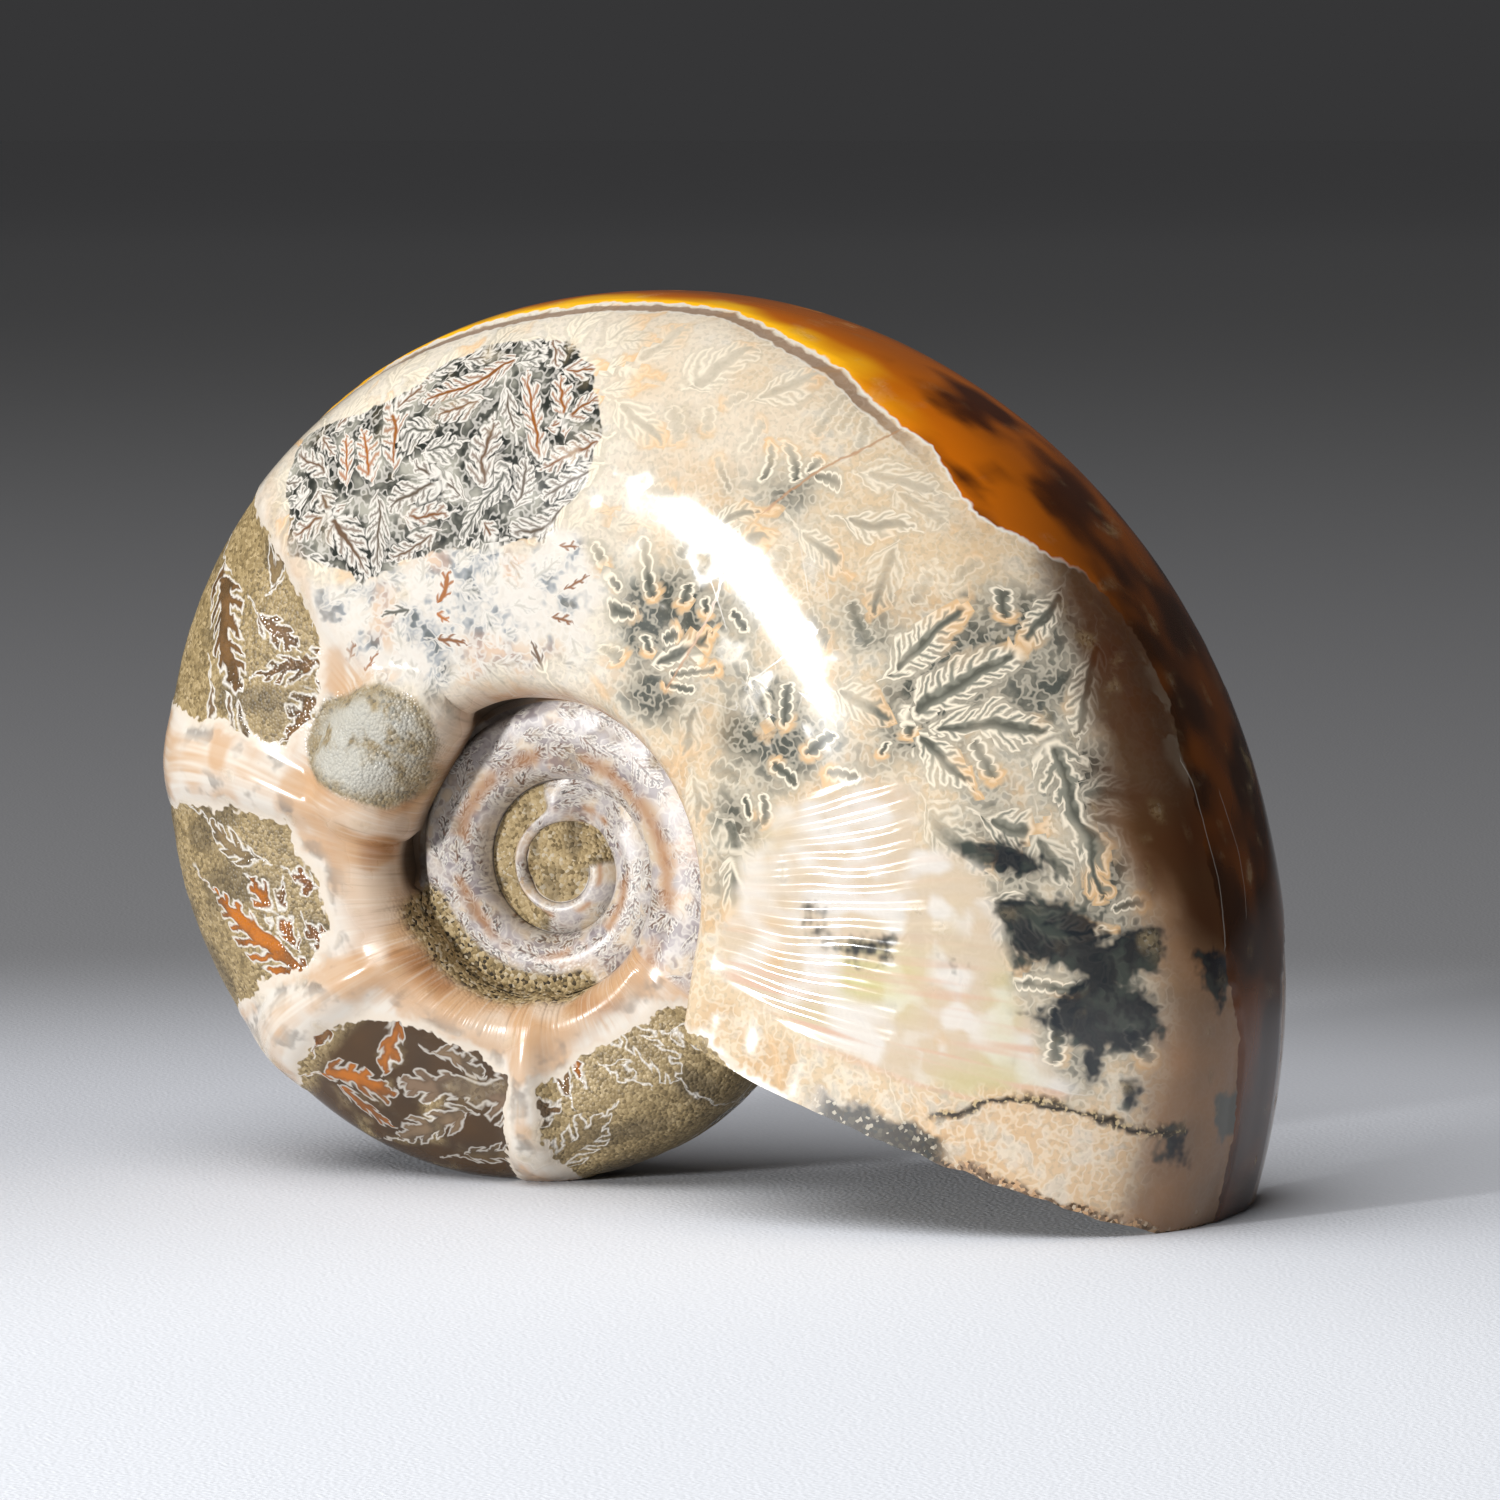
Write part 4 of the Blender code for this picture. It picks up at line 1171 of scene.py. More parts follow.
def fine_relief(facts, maps, places):
    """What stands above or below the CAD model's surface, in metres."""
    outer = facts[:, WHORL] < 1.0
    uneven, fine = swell(places, *UNEVEN_BUMPS), swell(places, *FINE_BUMPS)
    grain = swell(places, *GRAIN_BUMPS)
    sandy = fine + 0.6 * grain
    height = POLISH_WAVES * swell(places, *WAVE_BUMPS)
    phase = (np.degrees(facts[:, GROWTH]) + NACRE_WANDER * uneven) / NACRE_SPACING
    swing = np.abs((phase - np.floor(phase)) * 2.0 - 1.0)
    ridge = 1.0 - smooth_step(0.0, 0.75, swing)
    pearly = smooth_step(0.0, 1.6, maps["nacre"] + 0.6 * uneven)
    height += NACRE_RIDGE * (ridge - 0.3) * pearly * outer
    ragged = maps["window"] + 0.7 * uneven + 0.5 * fine
    height -= WINDOW_STEP * smooth_step(-0.15, 0.25, ragged) * outer
    unpolished = 1.0 - maps["polished"]
    height += WINDOW_GRAIN * sandy * smooth_step(0.0, 0.5, ragged) * outer * unpolished
    lumpy = fine + 0.5 * grain + 0.6 * uneven
    height += LUMP_GRAIN * lumpy * smooth_step(-0.3, 0.8, maps["lump"])
    band = maps["amber"] + 0.25 * fine + 0.3 * uneven
    step_up = smooth_step(-0.25, 0.25, band) - 0.5
    height += AMBER_STEP * step_up * np.exp(-np.abs(band) / AMBER_STEP_REACH) * outer
    seam = maps["mineral"] + 0.2 * fine
    height += MINERAL_RIDGE * np.exp(-((seam / MINERAL_HALF_WIDTH) ** 2)) * maps["by_mineral"]
    height += FILL_GRAIN * sandy * maps["fill"]
    height += CORE_GRAIN * (sandy + uneven) * smooth_step(0.1, 0.5, maps["core"])
    height -= GAP_DEPTH * maps["gap"]
    printed = smooth_step(VISIBLE_WHORLS, VISIBLE_WHORLS + PRINT_START, facts[:, WHORL])
    height += PRINT_HEIGHT * np.sin(math.pi * facts[:, ROW]) * printed * (1.0 - maps["core"])
    height[facts[:, BROKEN] > 0.0] *= BROKEN_SMOOTHER
    return height


KNOWN_FACTS = {
    "growth": GROWTH, "share": SHARE, "whorl": WHORL, "row": ROW, "broken": BROKEN, "core": CORE,
}
# Zones that are moved on the back, and zones that only the front has
MOVED_ZONES = {
    "amber": (AMBER,), "smoky": (SMOKY,), "tan": (TAN_RIM,), "dark": (DARK_ZONE,),
    "whitish": (WHITISH,), "nacre": (NACRE,),
}
FRONT_ZONES = {
    "blue": BLUE_PATCHES, "teal": (TEAL_PATCH,), "calcite": (CALCITE_PATCH,), "lump": (LUMP,),
}
DRAWN_LINES = {"mineral": (MINERAL_SEAM,), "crack": CRACKS, "white_line": WHITE_LINES}
OUTSIDE = -9.0  # millimetres: far outside every zone
PAST_RIM = 99.0

# Noise on the mesh, from repeatable numbers on a lattice
LATTICE_PRIMES = (73856093, 19349663, 83492791, 40503)
LATTICE_MIXES = ((13, 1274126177), (15, 2246822519))
LATTICE_SHIFT = 16
LATTICE_TOP = 0xFFFFFFFF
LATTICE_OFFSET = 91.7
OCTAVE_SEED = 17
PLACES_AT_ONCE = 4000
# Soft random patches and bumps: their size in millimetres, a seed and sometimes how many octaves
CLOUDS = {"2a": (2.2, 1), "2b": (2.0, 2), "4a": (4.5, 3), "4b": (4.0, 4), "8a": (9.0, 5)}
UNEVEN_BUMPS = (7.0, 12)
FINE_BUMPS = (1.9, 13)
GRAIN_BUMPS = (1.0, 14, 1)
WAVE_BUMPS = (13.0, 15, 1)

# How the stems of the leaves sway, and how far the back's zones are moved from the front's
STEM_BENDS = (5.0, 31, 32)
STEM_SWAY = 3.0
INNER_SWAY = 0.4
BACK_BENDS = (14.0, 51, 52)
BACK_SWAY = 0.011
BACK_SWAY_FULL = 0.010

# The amber's streaks: bumps to a radian, to the venter's radius, and to a metre sideways
FLOW_ALONG = 9.0
FLOW_ACROSS = 34.0
FLOW_SIDEWAYS = 150.0
FLOW_SEED = 41

# Where the surface is rough, polished, fibrous or filled with rock
WINDOW_ROUGH = 0.6
WINDOW_RAGGED = 1.6
BROWN_WINDOW = (3.78, 3.86, 4.58, 4.64)  # radians: this window is polished brown stone
POLISHED_CLOUD = (0.15, 0.35)
FIBROUS_ROWS = (0.42, 0.6)
FOOT_FILL = (0.0, 0.45)
BESIDE_FILL = (0.05, 0.45)

# Heights of the fine relief
POLISH_WAVES = 0.000012
NACRE_SPACING = 2.45  # degrees from one growth line to the next
NACRE_WANDER = 1.2
NACRE_RIDGE = 0.00016
WINDOW_STEP = 0.00018
WINDOW_GRAIN = 0.00006
LUMP_GRAIN = 0.00042
AMBER_STEP = 0.00030
AMBER_STEP_REACH = 2.5
MINERAL_RIDGE = 0.00016
MINERAL_HALF_WIDTH = 0.5
FILL_GRAIN = 0.00015
CORE_GRAIN = 0.00022
BROKEN_SMOOTHER = 0.2  # the share of all these that is left on the broken edge

# The gap beside the umbilical wall, sunk and darkened with painted shadow: radians, and shares of
# the way from shoulder to seam
GAP_OPENS = (1.45, 1.85)
GAP_CLOSES = (3.50, 3.10)
GAP_AT_WALL = (0.78, 0.97)
GAP_AT_WHORL = (0.14, 0.0)
GAP_DEPTH = 0.0009
PIT = (-0.0031, -0.0019)  # beside the core, as x and z from the coil's centre
PIT_SIZE = (0.0006, 0.0013)
PIT_WHORL = VISIBLE_WHORLS + 0.3


def add_light(name, azimuth, elevation, distance, size, power, mirrored=True):
    """A soft light that faces the object; one that isn't mirrored leaves no highlight."""
    data = bpy.data.lights.new(name, "AREA")
    data.shape = "ELLIPSE"
    data.size, data.size_y = size
    data.energy = power
    light = bpy.data.objects.new(name, data)
    bpy.context.scene.collection.objects.link(light)
    away = direction(azimuth, elevation)
    light.visible_camera = False
    light.visible_glossy = mirrored
    light.location = OBJECT_MIDDLE + away * distance
    light.rotation_euler = (-away).to_track_quat("-Z", "Y").to_euler()
    return light


def add_floor():
    """A pale floor, wide enough for every view, with a painted pool of light on it that greys away
    from the object as painted shade.
    """
    mesh = bpy.data.meshes.new("floor")
    half = FLOOR_HALF
    corners = [(-half, -half, 0.0), (half, -half, 0.0), (half, half, 0.0), (-half, half, 0.0)]
    mesh.from_pydata(corners, [], [(0, 1, 2, 3)])
    mesh.materials.append(floor_material())
    floor = bpy.data.objects.new("floor", mesh)
    bpy.context.scene.collection.objects.link(floor)
    return floor


def floor_material():
    nodes = Nodes("floor_paper")
    x, y, _ = nodes.split(nodes.place)
    # Painted light and shade: pale in a pool around a place in front of the fossil, greyer away
    # from it.
    x, y = x - LIGHT_POOL_CENTRE[0] / MM, y - LIGHT_POOL_CENTRE[1] / MM
    away = nodes.math("SQRT", x * x + y * y)
    colour = nodes.mix(FLOOR_PALE, FLOOR_SOFT, nodes.step(*SOFT_FROM, away))
    colour = nodes.mix(colour, FLOOR_SHADE_GREY, nodes.step(*SHADE_GREY_FROM, away))
    colour = nodes.mix(colour, FLOOR_FAR, nodes.step(*FAR_FROM, away))
    nodes.plug(nodes.surface.inputs["Base Color"], colour)
    nodes.surface.inputs["Roughness"].default_value = FLOOR_ROUGHNESS
    nodes.surface.inputs["Specular IOR Level"].default_value = FLOOR_SPECULAR
    nodes.add_bump(nodes.noise(FLOOR_GRAIN_SIZE, 0.0, 1.0), FLOOR_GRAIN_HEIGHT)
    return nodes.material


def set_world():
    """An even grey surrounding, shown without a film look."""
    world = bpy.data.worlds.new("studio")
    world.use_nodes = True
    background = world.node_tree.nodes["Background"]
    background.inputs["Color"].default_value = WORLD_GREY
    background.inputs["Strength"].default_value = 1.0
    bpy.context.scene.world = world
    bpy.context.scene.view_settings.view_transform = "Standard"


def vertex_normals(mesh):
    """The mesh's outward direction at each vertex."""
    normals = np.empty(3 * len(mesh.vertices), np.float32)
    mesh.vertex_normals.foreach_get("vector", normals)
    return normals.reshape(-1, 3).astype(float)


def new_mesh(name, places, faces):
    mesh = bpy.data.meshes.new(name)
    mesh.from_pydata(places.tolist(), [], faces)
    mesh.shade_smooth()
    return mesh


def add_ammonite():
    shell = Shell()
    places, facts = np.array(shell.points), np.array(shell.facts)
    maps = surface_maps(facts, places)
    draft = new_mesh("draft", places, shell.faces)
    places = places + vertex_normals(draft) * fine_relief(facts, maps, places)[:, None]
    bpy.data.meshes.remove(draft)
    places[:, 2] = np.maximum(places[:, 2], -FLOOR_DROP) + FLOOR_DROP
    places[:, 0] += COIL_AXIS_X
    mesh = new_mesh("fossil_ammonite", places, shell.faces)
    mesh.set_sharp_from_angle(angle=SHARP_EDGE)
    for name, values in maps.items():
        add_attribute(mesh, name, values)
    lay_leaves(mesh, facts, places)
    mesh.materials.append(fossil_material())
    piece = bpy.data.objects.new("fossil_ammonite", mesh)
    bpy.context.scene.collection.objects.link(piece)
    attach(piece, "root")
    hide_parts("ammonite")
    return piece


def linear(value):
    """A screen's value from 0 to 255 as an amount of light from 0 to 1."""
    value = value / 255.0
    return value / 12.92 if value <= 0.04045 else ((value + 0.055) / 1.055) ** 2.4


def paint(red, green, blue):
    """A colour given as it looks on a screen, from 0 to 255, for a node's socket."""
    return (linear(red), linear(green), linear(blue), 1.0)


class Field:
    """A number or a colour that varies over the surface, held as a socket of a material's node."""

    def __init__(self, nodes, socket):
        self.nodes = nodes
        self.socket = socket

    def __add__(self, other):
        return self.nodes.math("ADD", self, other)

    def __sub__(self, other):
        return self.nodes.math("SUBTRACT", self, other)

    def __mul__(self, other):
        return self.nodes.math("MULTIPLY", self, other)

    def __truediv__(self, other):
        return self.nodes.math("DIVIDE", self, other)

    def __rsub__(self, other):
        return self.nodes.math("SUBTRACT", other, self)

    def __neg__(self):
        return self.nodes.math("MULTIPLY", self, -1.0)

    __radd__ = __add__
    __rmul__ = __mul__


class Nodes:
    """Writes a material's nodes as arithmetic on fields."""

    def __init__(self, name):
        self.material = bpy.data.materials.new(name)
        self.material.use_nodes = True
        self.tree = self.material.node_tree
        self.surface = self.tree.nodes["Principled BSDF"]
        where = self.new("TexCoord").outputs["Object"]
        scaled = self.new("VectorMath", operation="SCALE")
        self.tree.links.new(where, scaled.inputs[0])
        scaled.inputs["Scale"].default_value = 1.0 / MM
        self.place = Field(self, scaled.outputs[0])

    def new(self, kind, **settings):
        node = self.tree.nodes.new("ShaderNode" + kind)
        for name, value in settings.items():
            setattr(node, name, value)
        return node

    def plug(self, socket, value):
        if isinstance(value, Field):
            self.tree.links.new(value.socket, socket)
        else:
            socket.default_value = value

    def add_bump(self, height, distance):
        bump = self.new("Bump")
        bump.inputs["Distance"].default_value = distance
        bump.inputs["Strength"].default_value = 1.0
        self.plug(bump.inputs["Height"], height)
        self.tree.links.new(bump.outputs["Normal"], self.surface.inputs["Normal"])

    def math(self, operation, *values):
        node = self.new("Math", operation=operation)
        for socket, value in zip(node.inputs, values):
            self.plug(socket, value)
        return Field(self, node.outputs[0])

    def smooth_min(self, first, second, reach):
        return self.math("SMOOTH_MIN", first, second, reach)

    def smooth_max(self, first, second, reach):
        return self.math("SMOOTH_MAX", first, second, reach)

    def bell(self, value, width):
        """1 where the value is 0, falling off on both sides over a width."""
        return self.fade(0.0, 1.7 * width, self.math("ABSOLUTE", value))

    def fade(self, low, high, value):
        """1 below the low value, 0 above the high one, and smooth between them."""
        return self.step(high, low, value)

    def step(self, low, high, value):
        """0 below the low value, 1 above the high one, and smooth between them."""
        node = self.new("MapRange", interpolation_type="SMOOTHSTEP")
        self.plug(node.inputs["Value"], value)
        node.inputs["From Min"].default_value = low
        node.inputs["From Max"].default_value = high
        return Field(self, node.outputs[0])

    def known(self, name):
        """A number that the mesh holds for each place."""
        node = self.new("Attribute", attribute_name=name)
        return Field(self, node.outputs["Fac"])

    def known_vector(self, name):
        node = self.new("Attribute", attribute_name=name)
        return self.split(Field(self, node.outputs["Vector"]))

    def split(self, vector):
        node = self.new("SeparateXYZ")
        self.plug(node.inputs[0], vector)
        return [Field(self, output) for output in node.outputs]

    def join(self, x, y, z):
        node = self.new("CombineXYZ")
        for socket, value in zip(node.inputs, (x, y, z)):
            self.plug(socket, value)
        return Field(self, node.outputs[0])

    def shifted(self, vector, seed):
        """A place moved by the seed, so that no two noises are alike."""
        node = self.new("VectorMath", operation="ADD")
        self.plug(node.inputs[0], vector)
        node.inputs[1].default_value = (17.3 * seed, -9.1 * seed, 5.7 * seed)
        return Field(self, node.outputs[0])

    def noise_node(self, size, detail, seed, place):
        node = self.new("TexNoise")
        self.plug(node.inputs["Vector"], self.shifted(place or self.place, seed))
        node.inputs["Scale"].default_value = 1.0 / size
        node.inputs["Detail"].default_value = detail
        return node

    def noise(self, size, detail=1.0, seed=0.0, place=None):
        """Smooth noise from 0 to 1, with bumps of this size in millimetres."""
        return Field(self, self.noise_node(size, detail, seed, place).outputs["Fac"])

    def noise_vector(self, size, detail=1.0, seed=0.0):
        """Three noises, each about 0."""
        node = self.noise_node(size, detail, seed, None)
        parts = self.split(Field(self, node.outputs["Color"]))
        return [part - 0.5 for part in parts]

    def grains(self, size, seed=0.0, place=None):
        """Cells of about this size: the distance to a cell's middle, and its random number."""
        node = self.new("TexVoronoi")
        self.plug(node.inputs["Vector"], self.shifted(place or self.place, seed))
        node.inputs["Scale"].default_value = 1.0 / size
        chance = self.split(Field(self, node.outputs["Color"]))
        return Field(self, node.outputs["Distance"]), chance[0]

    def chance(self, x, y, z):
        node = self.new("TexWhiteNoise", noise_dimensions="3D")
        self.plug(node.inputs["Vector"], self.join(x, y, z))
        return Field(self, node.outputs["Value"])

    def mix(self, first, second, share):
        """The first colour where the share is 0, and the second where it is 1."""
        node = self.new("Mix", data_type="RGBA")
        self.plug(node.inputs[0], share)
        self.plug(node.inputs[6], first)
        self.plug(node.inputs[7], second)
        return Field(self, node.outputs[2])

    def blend(self, first, second, share):
        return (second - first) * share + first

    def ramp(self, value, stops):
        """A colour that runs through the stops, each a value from -1 to 1 and a colour."""
        node = self.new("ValToRGB")
        self.plug(node.inputs[0], value * 0.5 + 0.5)
        marks = node.color_ramp.elements
        while len(marks) < len(stops):
            marks.new(1.0)
        for mark, (where, colour) in zip(marks, stops):
            mark.position = where * 0.5 + 0.5
            mark.color = colour
        return Field(self, node.outputs[0])


# A leaf's proportions, in units of leaf
BRANCH_STEP = 2.7
BRANCH_ANGLE = 0.80
BRANCH_CURL = 0.035
BRANCH_JITTER = 0.12
BRANCH_WIDTH = 0.20
BRANCH_GAP = 0.16
LOBE_STEP = 1.0
LOBE_ANGLE = 0.88
LOBE_WIDTH = 0.27
STEM_WIDTH = 0.22
BODY_SHARE = 0.45
STOUT_BODY = 0.4
SCALLOP_STEP = 2.0
SCALLOP_DEPTH = 0.40
FINGER_BODY = 0.8
WIDEST_LEAF = 0.42
LEAF_WOBBLE = 1.1
CLEAR_OF_NEXT = 0.24
FINGER_FROM = (0.7, 0.9)


class Leaves:
    """The leaves' outline over the whole shell, in millimetres: below zero is inside a leaf."""

    def __init__(self, nodes):
        self.nodes = nodes
        along, across, self.length = nodes.known_vector("beside")
        self.edge, number, leaf = nodes.known_vector("cell")
        width, self.tone, self.shown = nodes.known_vector("kind")
        self.stout = nodes.known("stout")
        self.number = nodes.math("FLOOR", number)
        self.along = along + nodes.fine[0] * LEAF_WOBBLE
        across = across + nodes.fine[1] * LEAF_WOBBLE
        self.side = nodes.math("GREATER_THAN", across, 0.0)
        self.off = nodes.math("ABSOLUTE", across)
        self.widest = nodes.math("MINIMUM", self.length * WIDEST_LEAF, width)
        self.tipward = nodes.step(0.45, 1.0, self.along / self.length)
        outline = nodes.blend(self.branched(), self.finger(), nodes.step(*FINGER_FROM, self.stout))
        outline = nodes.smooth_max(outline, CLEAR_OF_NEXT - self.edge, 0.2)
        self.outline = outline * leaf
        self.off_stem = self.off * leaf

    def branched(self):
        """A leaf with branches on both sides of its stem, and lobes on both sides of those."""
        nodes, along, off, side = self.nodes, self.along, self.off, self.side
        sine, tangent = math.sin(BRANCH_ANGLE), math.tan(BRANCH_ANGLE)
        order = (along - off * (1.0 / tangent) - off * off * BRANCH_CURL) * (1.0 / BRANCH_STEP)
        order = order + side * 0.5
        branch = nodes.math("FLOOR", order)
        chance = nodes.chance(branch, self.number, side)
        beside = (order - branch - 0.5 + (chance - 0.5) * BRANCH_JITTER) * (BRANCH_STEP * sine)
        reach = off * (1.0 / sine)
        foot = nodes.math("SQRT", nodes.step(-0.15, 0.25, along / self.length))
        head = nodes.math("SQRT", nodes.fade(0.65, 1.15, along / self.length))
        half = self.widest * foot * head
        longest = nodes.math("MINIMUM", half * (chance * 0.5 + 0.8), reach + self.edge - 0.2)
        part = reach / nodes.math("MAXIMUM", longest, 0.1)
        aside = nodes.math("ABSOLUTE", beside)
        lobe_side = nodes.math("GREATER_THAN", beside, 0.0)
        lobes = self.lobes(branch, chance, lobe_side, aside, reach, part)
        beyond = nodes.math("MAXIMUM", reach - longest, 0.0)
        body = self.hypotenuse(beyond, nodes.math("MAXIMUM", aside - 0.10, 0.0))
        body = body - BRANCH_WIDTH - self.stout * STOUT_BODY
        outline = nodes.smooth_min(lobes, body, 0.16)
        outline = nodes.smooth_max(outline, reach - longest - 0.25, 0.3)
        over = nodes.math("MAXIMUM", along - self.length, 0.0) + nodes.math("MAXIMUM", -along, 0.0)
        trunk = self.hypotenuse(over, off) - half * self.stout * BODY_SHARE - STEM_WIDTH
        return nodes.smooth_min(outline, trunk, 0.25)

    def lobes(self, branch, chance, lobe_side, aside, reach, part):
        """The lobes along a branch, shorter towards its tip."""
        nodes = self.nodes
        sine, tangent = math.sin(LOBE_ANGLE), math.tan(LOBE_ANGLE)
        count = (reach - aside * (1.0 / tangent)) * (1.0 / LOBE_STEP)
        count = count + lobe_side * 0.5 + chance * 3.0
        lobe = nodes.math("FLOOR", count)
        self.luck = nodes.chance(lobe + branch * 17.0, self.number, self.side * 2.0 + lobe_side)
        off_lobe = (count - lobe - 0.5) * (LOBE_STEP * sine)
        tip = (BRANCH_STEP * math.sin(BRANCH_ANGLE) * 0.5 - BRANCH_GAP - LOBE_WIDTH) / sine
        narrow = nodes.math("SQRT", nodes.math("MAXIMUM", 1.35 - part, 0.02))
        lobe_reach = (self.luck * 0.55 + 0.62) * narrow * tip
        past = nodes.math("MAXIMUM", aside * (1.0 / sine) - lobe_reach, 0.0)
        return self.hypotenuse(past, off_lobe) - LOBE_WIDTH

    def finger(self):
        """A leaf that is one round-ended finger with scalloped sides."""
        nodes, along, widest = self.nodes, self.along, self.widest
        beat = nodes.math("FRACT", along * (1.0 / SCALLOP_STEP) + self.side * 0.5) * 2.0 - 1.0
        scallop = nodes.math("SQRT", nodes.math("MAXIMUM", 1.0 - beat * beat, 0.0))
        past_end = nodes.math("MAXIMUM", along - self.length + widest, widest * 0.6 - along)
        round_end = self.hypotenuse(nodes.math("MAXIMUM", past_end, 0.0), self.off)
        body = scallop * SCALLOP_DEPTH + self.tipward * 0.2 + (FINGER_BODY - SCALLOP_DEPTH)
        return round_end - widest * body

    def hypotenuse(self, first, second):
        return self.nodes.math("SQRT", first * first + second * second)


class Look:
    """A finish: its colour, and how rough it is."""

    def __init__(self, nodes, colour, roughness):
        self.nodes = nodes
        self.colour = colour
        self.roughness = roughness

    def under(self, other, mask):
        """This look where the mask is 0, and the other one where it is 1."""
        colour = self.nodes.mix(self.colour, other.colour, mask)
        roughness = self.nodes.blend(self.roughness, other.roughness, mask)
        return Look(self.nodes, colour, roughness)

    def coat(self, colour, roughness, mask):
        """This look, with plain colour of one roughness over it where the mask is 1."""
        return self.under(Look(self.nodes, colour, roughness), mask)


# How rough a finish is
GLOSSY = 0.1
SATIN = 0.2
MATT = 0.85
# Where looks begin and end along the growth spiral, in radians
MOUTH_FROM = (-0.36, -0.24)
PEARL_TINTS = (-0.30, -0.02)
SMOKE_UNTIL = (0.35, 0.80)
EDGE_FROM = (0.45, 0.6)
CARAMEL_FROM = (0.6, 1.0)
BEVEL_FROM = (0.7, 0.9)
GOLD_AND_LIGHT_FROM = (0.75, 1.10)
WARM_UNTIL = (0.85, 1.35)
BEVEL_UNTIL = (1.8, 2.1)
EDGE_UNTIL = (1.9, 2.2)
OLD_SHELL_FROM = (2.18, 2.32)
AMBER_UNTIL = (2.2, 2.4)
WALL_NARROWS = (2.2, 2.9)
# Colours as they look on a screen
MILK = paint(212, 203, 188)
FROST = paint(216, 212, 202)
CREAM = paint(206, 180, 144)
PEACH = paint(218, 192, 160)
HONEY = paint(192, 152, 106)
MIST = paint(164, 161, 148)
PEARL = paint(214, 207, 198)
SLATE = paint(58, 64, 60)
LEAF_GREY = paint(140, 138, 124)
LEAF_PALE = paint(190, 180, 160)
LEAF_LINE = paint(232, 220, 198)
AMBER_LINE = paint(222, 178, 126)
LEAF_VEIN = paint(48, 50, 44)
INK = paint(44, 46, 42)
BONE = paint(216, 210, 200)
RUST = paint(126, 78, 38)
EMBER = paint(186, 106, 24)
ICE = paint(122, 134, 144)
OLIVE = paint(142, 122, 84)
OLIVE_DARK = paint(112, 95, 63)
OLIVE_PALE = paint(164, 143, 103)
SAND = paint(182, 161, 122)
CHALK = paint(190, 180, 160)
SOOT = paint(46, 38, 28)
UMBER = paint(76, 53, 28)
TAUPE = paint(122, 100, 80)
SHELL_TAN = paint(192, 154, 116)
SHELL_WHITE = paint(214, 202, 186)
SHELL_FROST = paint(214, 208, 198)
WALL_ORANGE = paint(164, 118, 78)
LILAC = paint(172, 164, 162)
MAUVE = paint(112, 100, 104)
STAIN = paint(120, 112, 104)
PLUM = paint(70, 56, 62)
PEARL_WARM = paint(198, 180, 156)
PEARL_GREEN = paint(184, 184, 104)
PEARL_PINK = paint(204, 168, 146)
PEARL_ORANGE = paint(206, 160, 98)
MIDNIGHT = paint(26, 32, 38)
TEAL = paint(84, 96, 94)
GOLD = paint(250, 184, 26)
CARAMEL = paint(196, 102, 8)
TREACLE = paint(76, 34, 6)
SMOKE = paint(74, 50, 28)
SMOKE_DARK = paint(50, 32, 18)
TAN_STONE = paint(166, 118, 78)
BEVEL = paint(122, 90, 66)
ROCK_DARK = paint(70, 64, 50)
ROCK_PALE = paint(150, 138, 114)
LUMP_GREY = paint(186, 184, 174)
LIP = paint(190, 178, 154)
BROWN_HEART = paint(118, 84, 46)
GREY_HEART = paint(84, 84, 76)
HEARTS = (
    (-1.0, OLIVE), (-0.5, TAUPE), (-0.25, BROWN_HEART), (0.0, GREY_HEART), (0.5, RUST),
    (1.0, EMBER),
)


class Stone(Nodes):
    """The fossil's material: what its looks share, each worked out once."""

    def __init__(self, name):
        super().__init__(name)
        # Turned is the angle of the growth line in radians, and share is of the venter's radius
        self.turned = self.known("growth")
        self.share = self.known("share")
        self.whorl = self.known("whorl")
        self.row = self.known("row")
        self.cloud = {size: self.known(f"cloud{size}") for size in CLOUDS}
        # Torn and frayed make edges ragged, and lace is a net of thin crumpled lines
        self.fine = self.noise_vector(1.0, 1.0, 2.0)
        self.grit = self.noise(0.45, 1.0, 7.0)
        self.grain, self.grain_luck = self.grains(0.32, 8.0)
        self.streaks = self.streak_noise(300.0, 4.0, 9.0)
        self.torn = self.cloud["2a"] - 0.5
        self.frayed = self.fine[2]
        # The shares of sand grains that are at least middling, light or pale
        self.middling = self.step(0.0, 0.35, self.grain_luck)
        self.lighter = self.step(0.45, 0.8, self.grain_luck)
        self.palest = self.step(0.86, 0.96, self.grain_luck) * 0.7
        self.lace = self.fade(0.02, 0.09, self.math("ABSOLUTE", self.frayed + self.fine[0] * 0.4))
        self.leaves = Leaves(self)

    def streak_noise(self, around, outwards, seed):
        """Noise drawn out along the growth lines: so many bumps a turn, and so many a radius."""
        sideways = self.split(self.place)[1] * 0.15
        place = self.join(self.turned * (around / FULL_TURN), self.share * outwards, sideways)
        return self.noise(1.0, 1.0, seed, place)

    def zone(self, name, torn, frayed=None):
        """How far inside a zone a place is, in millimetres, with the zone's edge made ragged."""
        depth = self.known(name) + self.torn * torn
        return depth if frayed is None else depth + self.frayed * frayed

    def between(self, rise, fall, value):
        """1 between two soft steps up and down, each from a low to a high value, and 0 outside."""
        return self.step(*rise, value) - self.step(*fall, value)

    def sand(self, dark, middle, light, pale):
        """Rock made of grains: most of them in the middle colours, some dark and some pale."""
        colour = self.mix(dark, middle, self.middling)
        colour = self.mix(colour, light, self.lighter)
        return self.mix(colour, pale, self.palest)


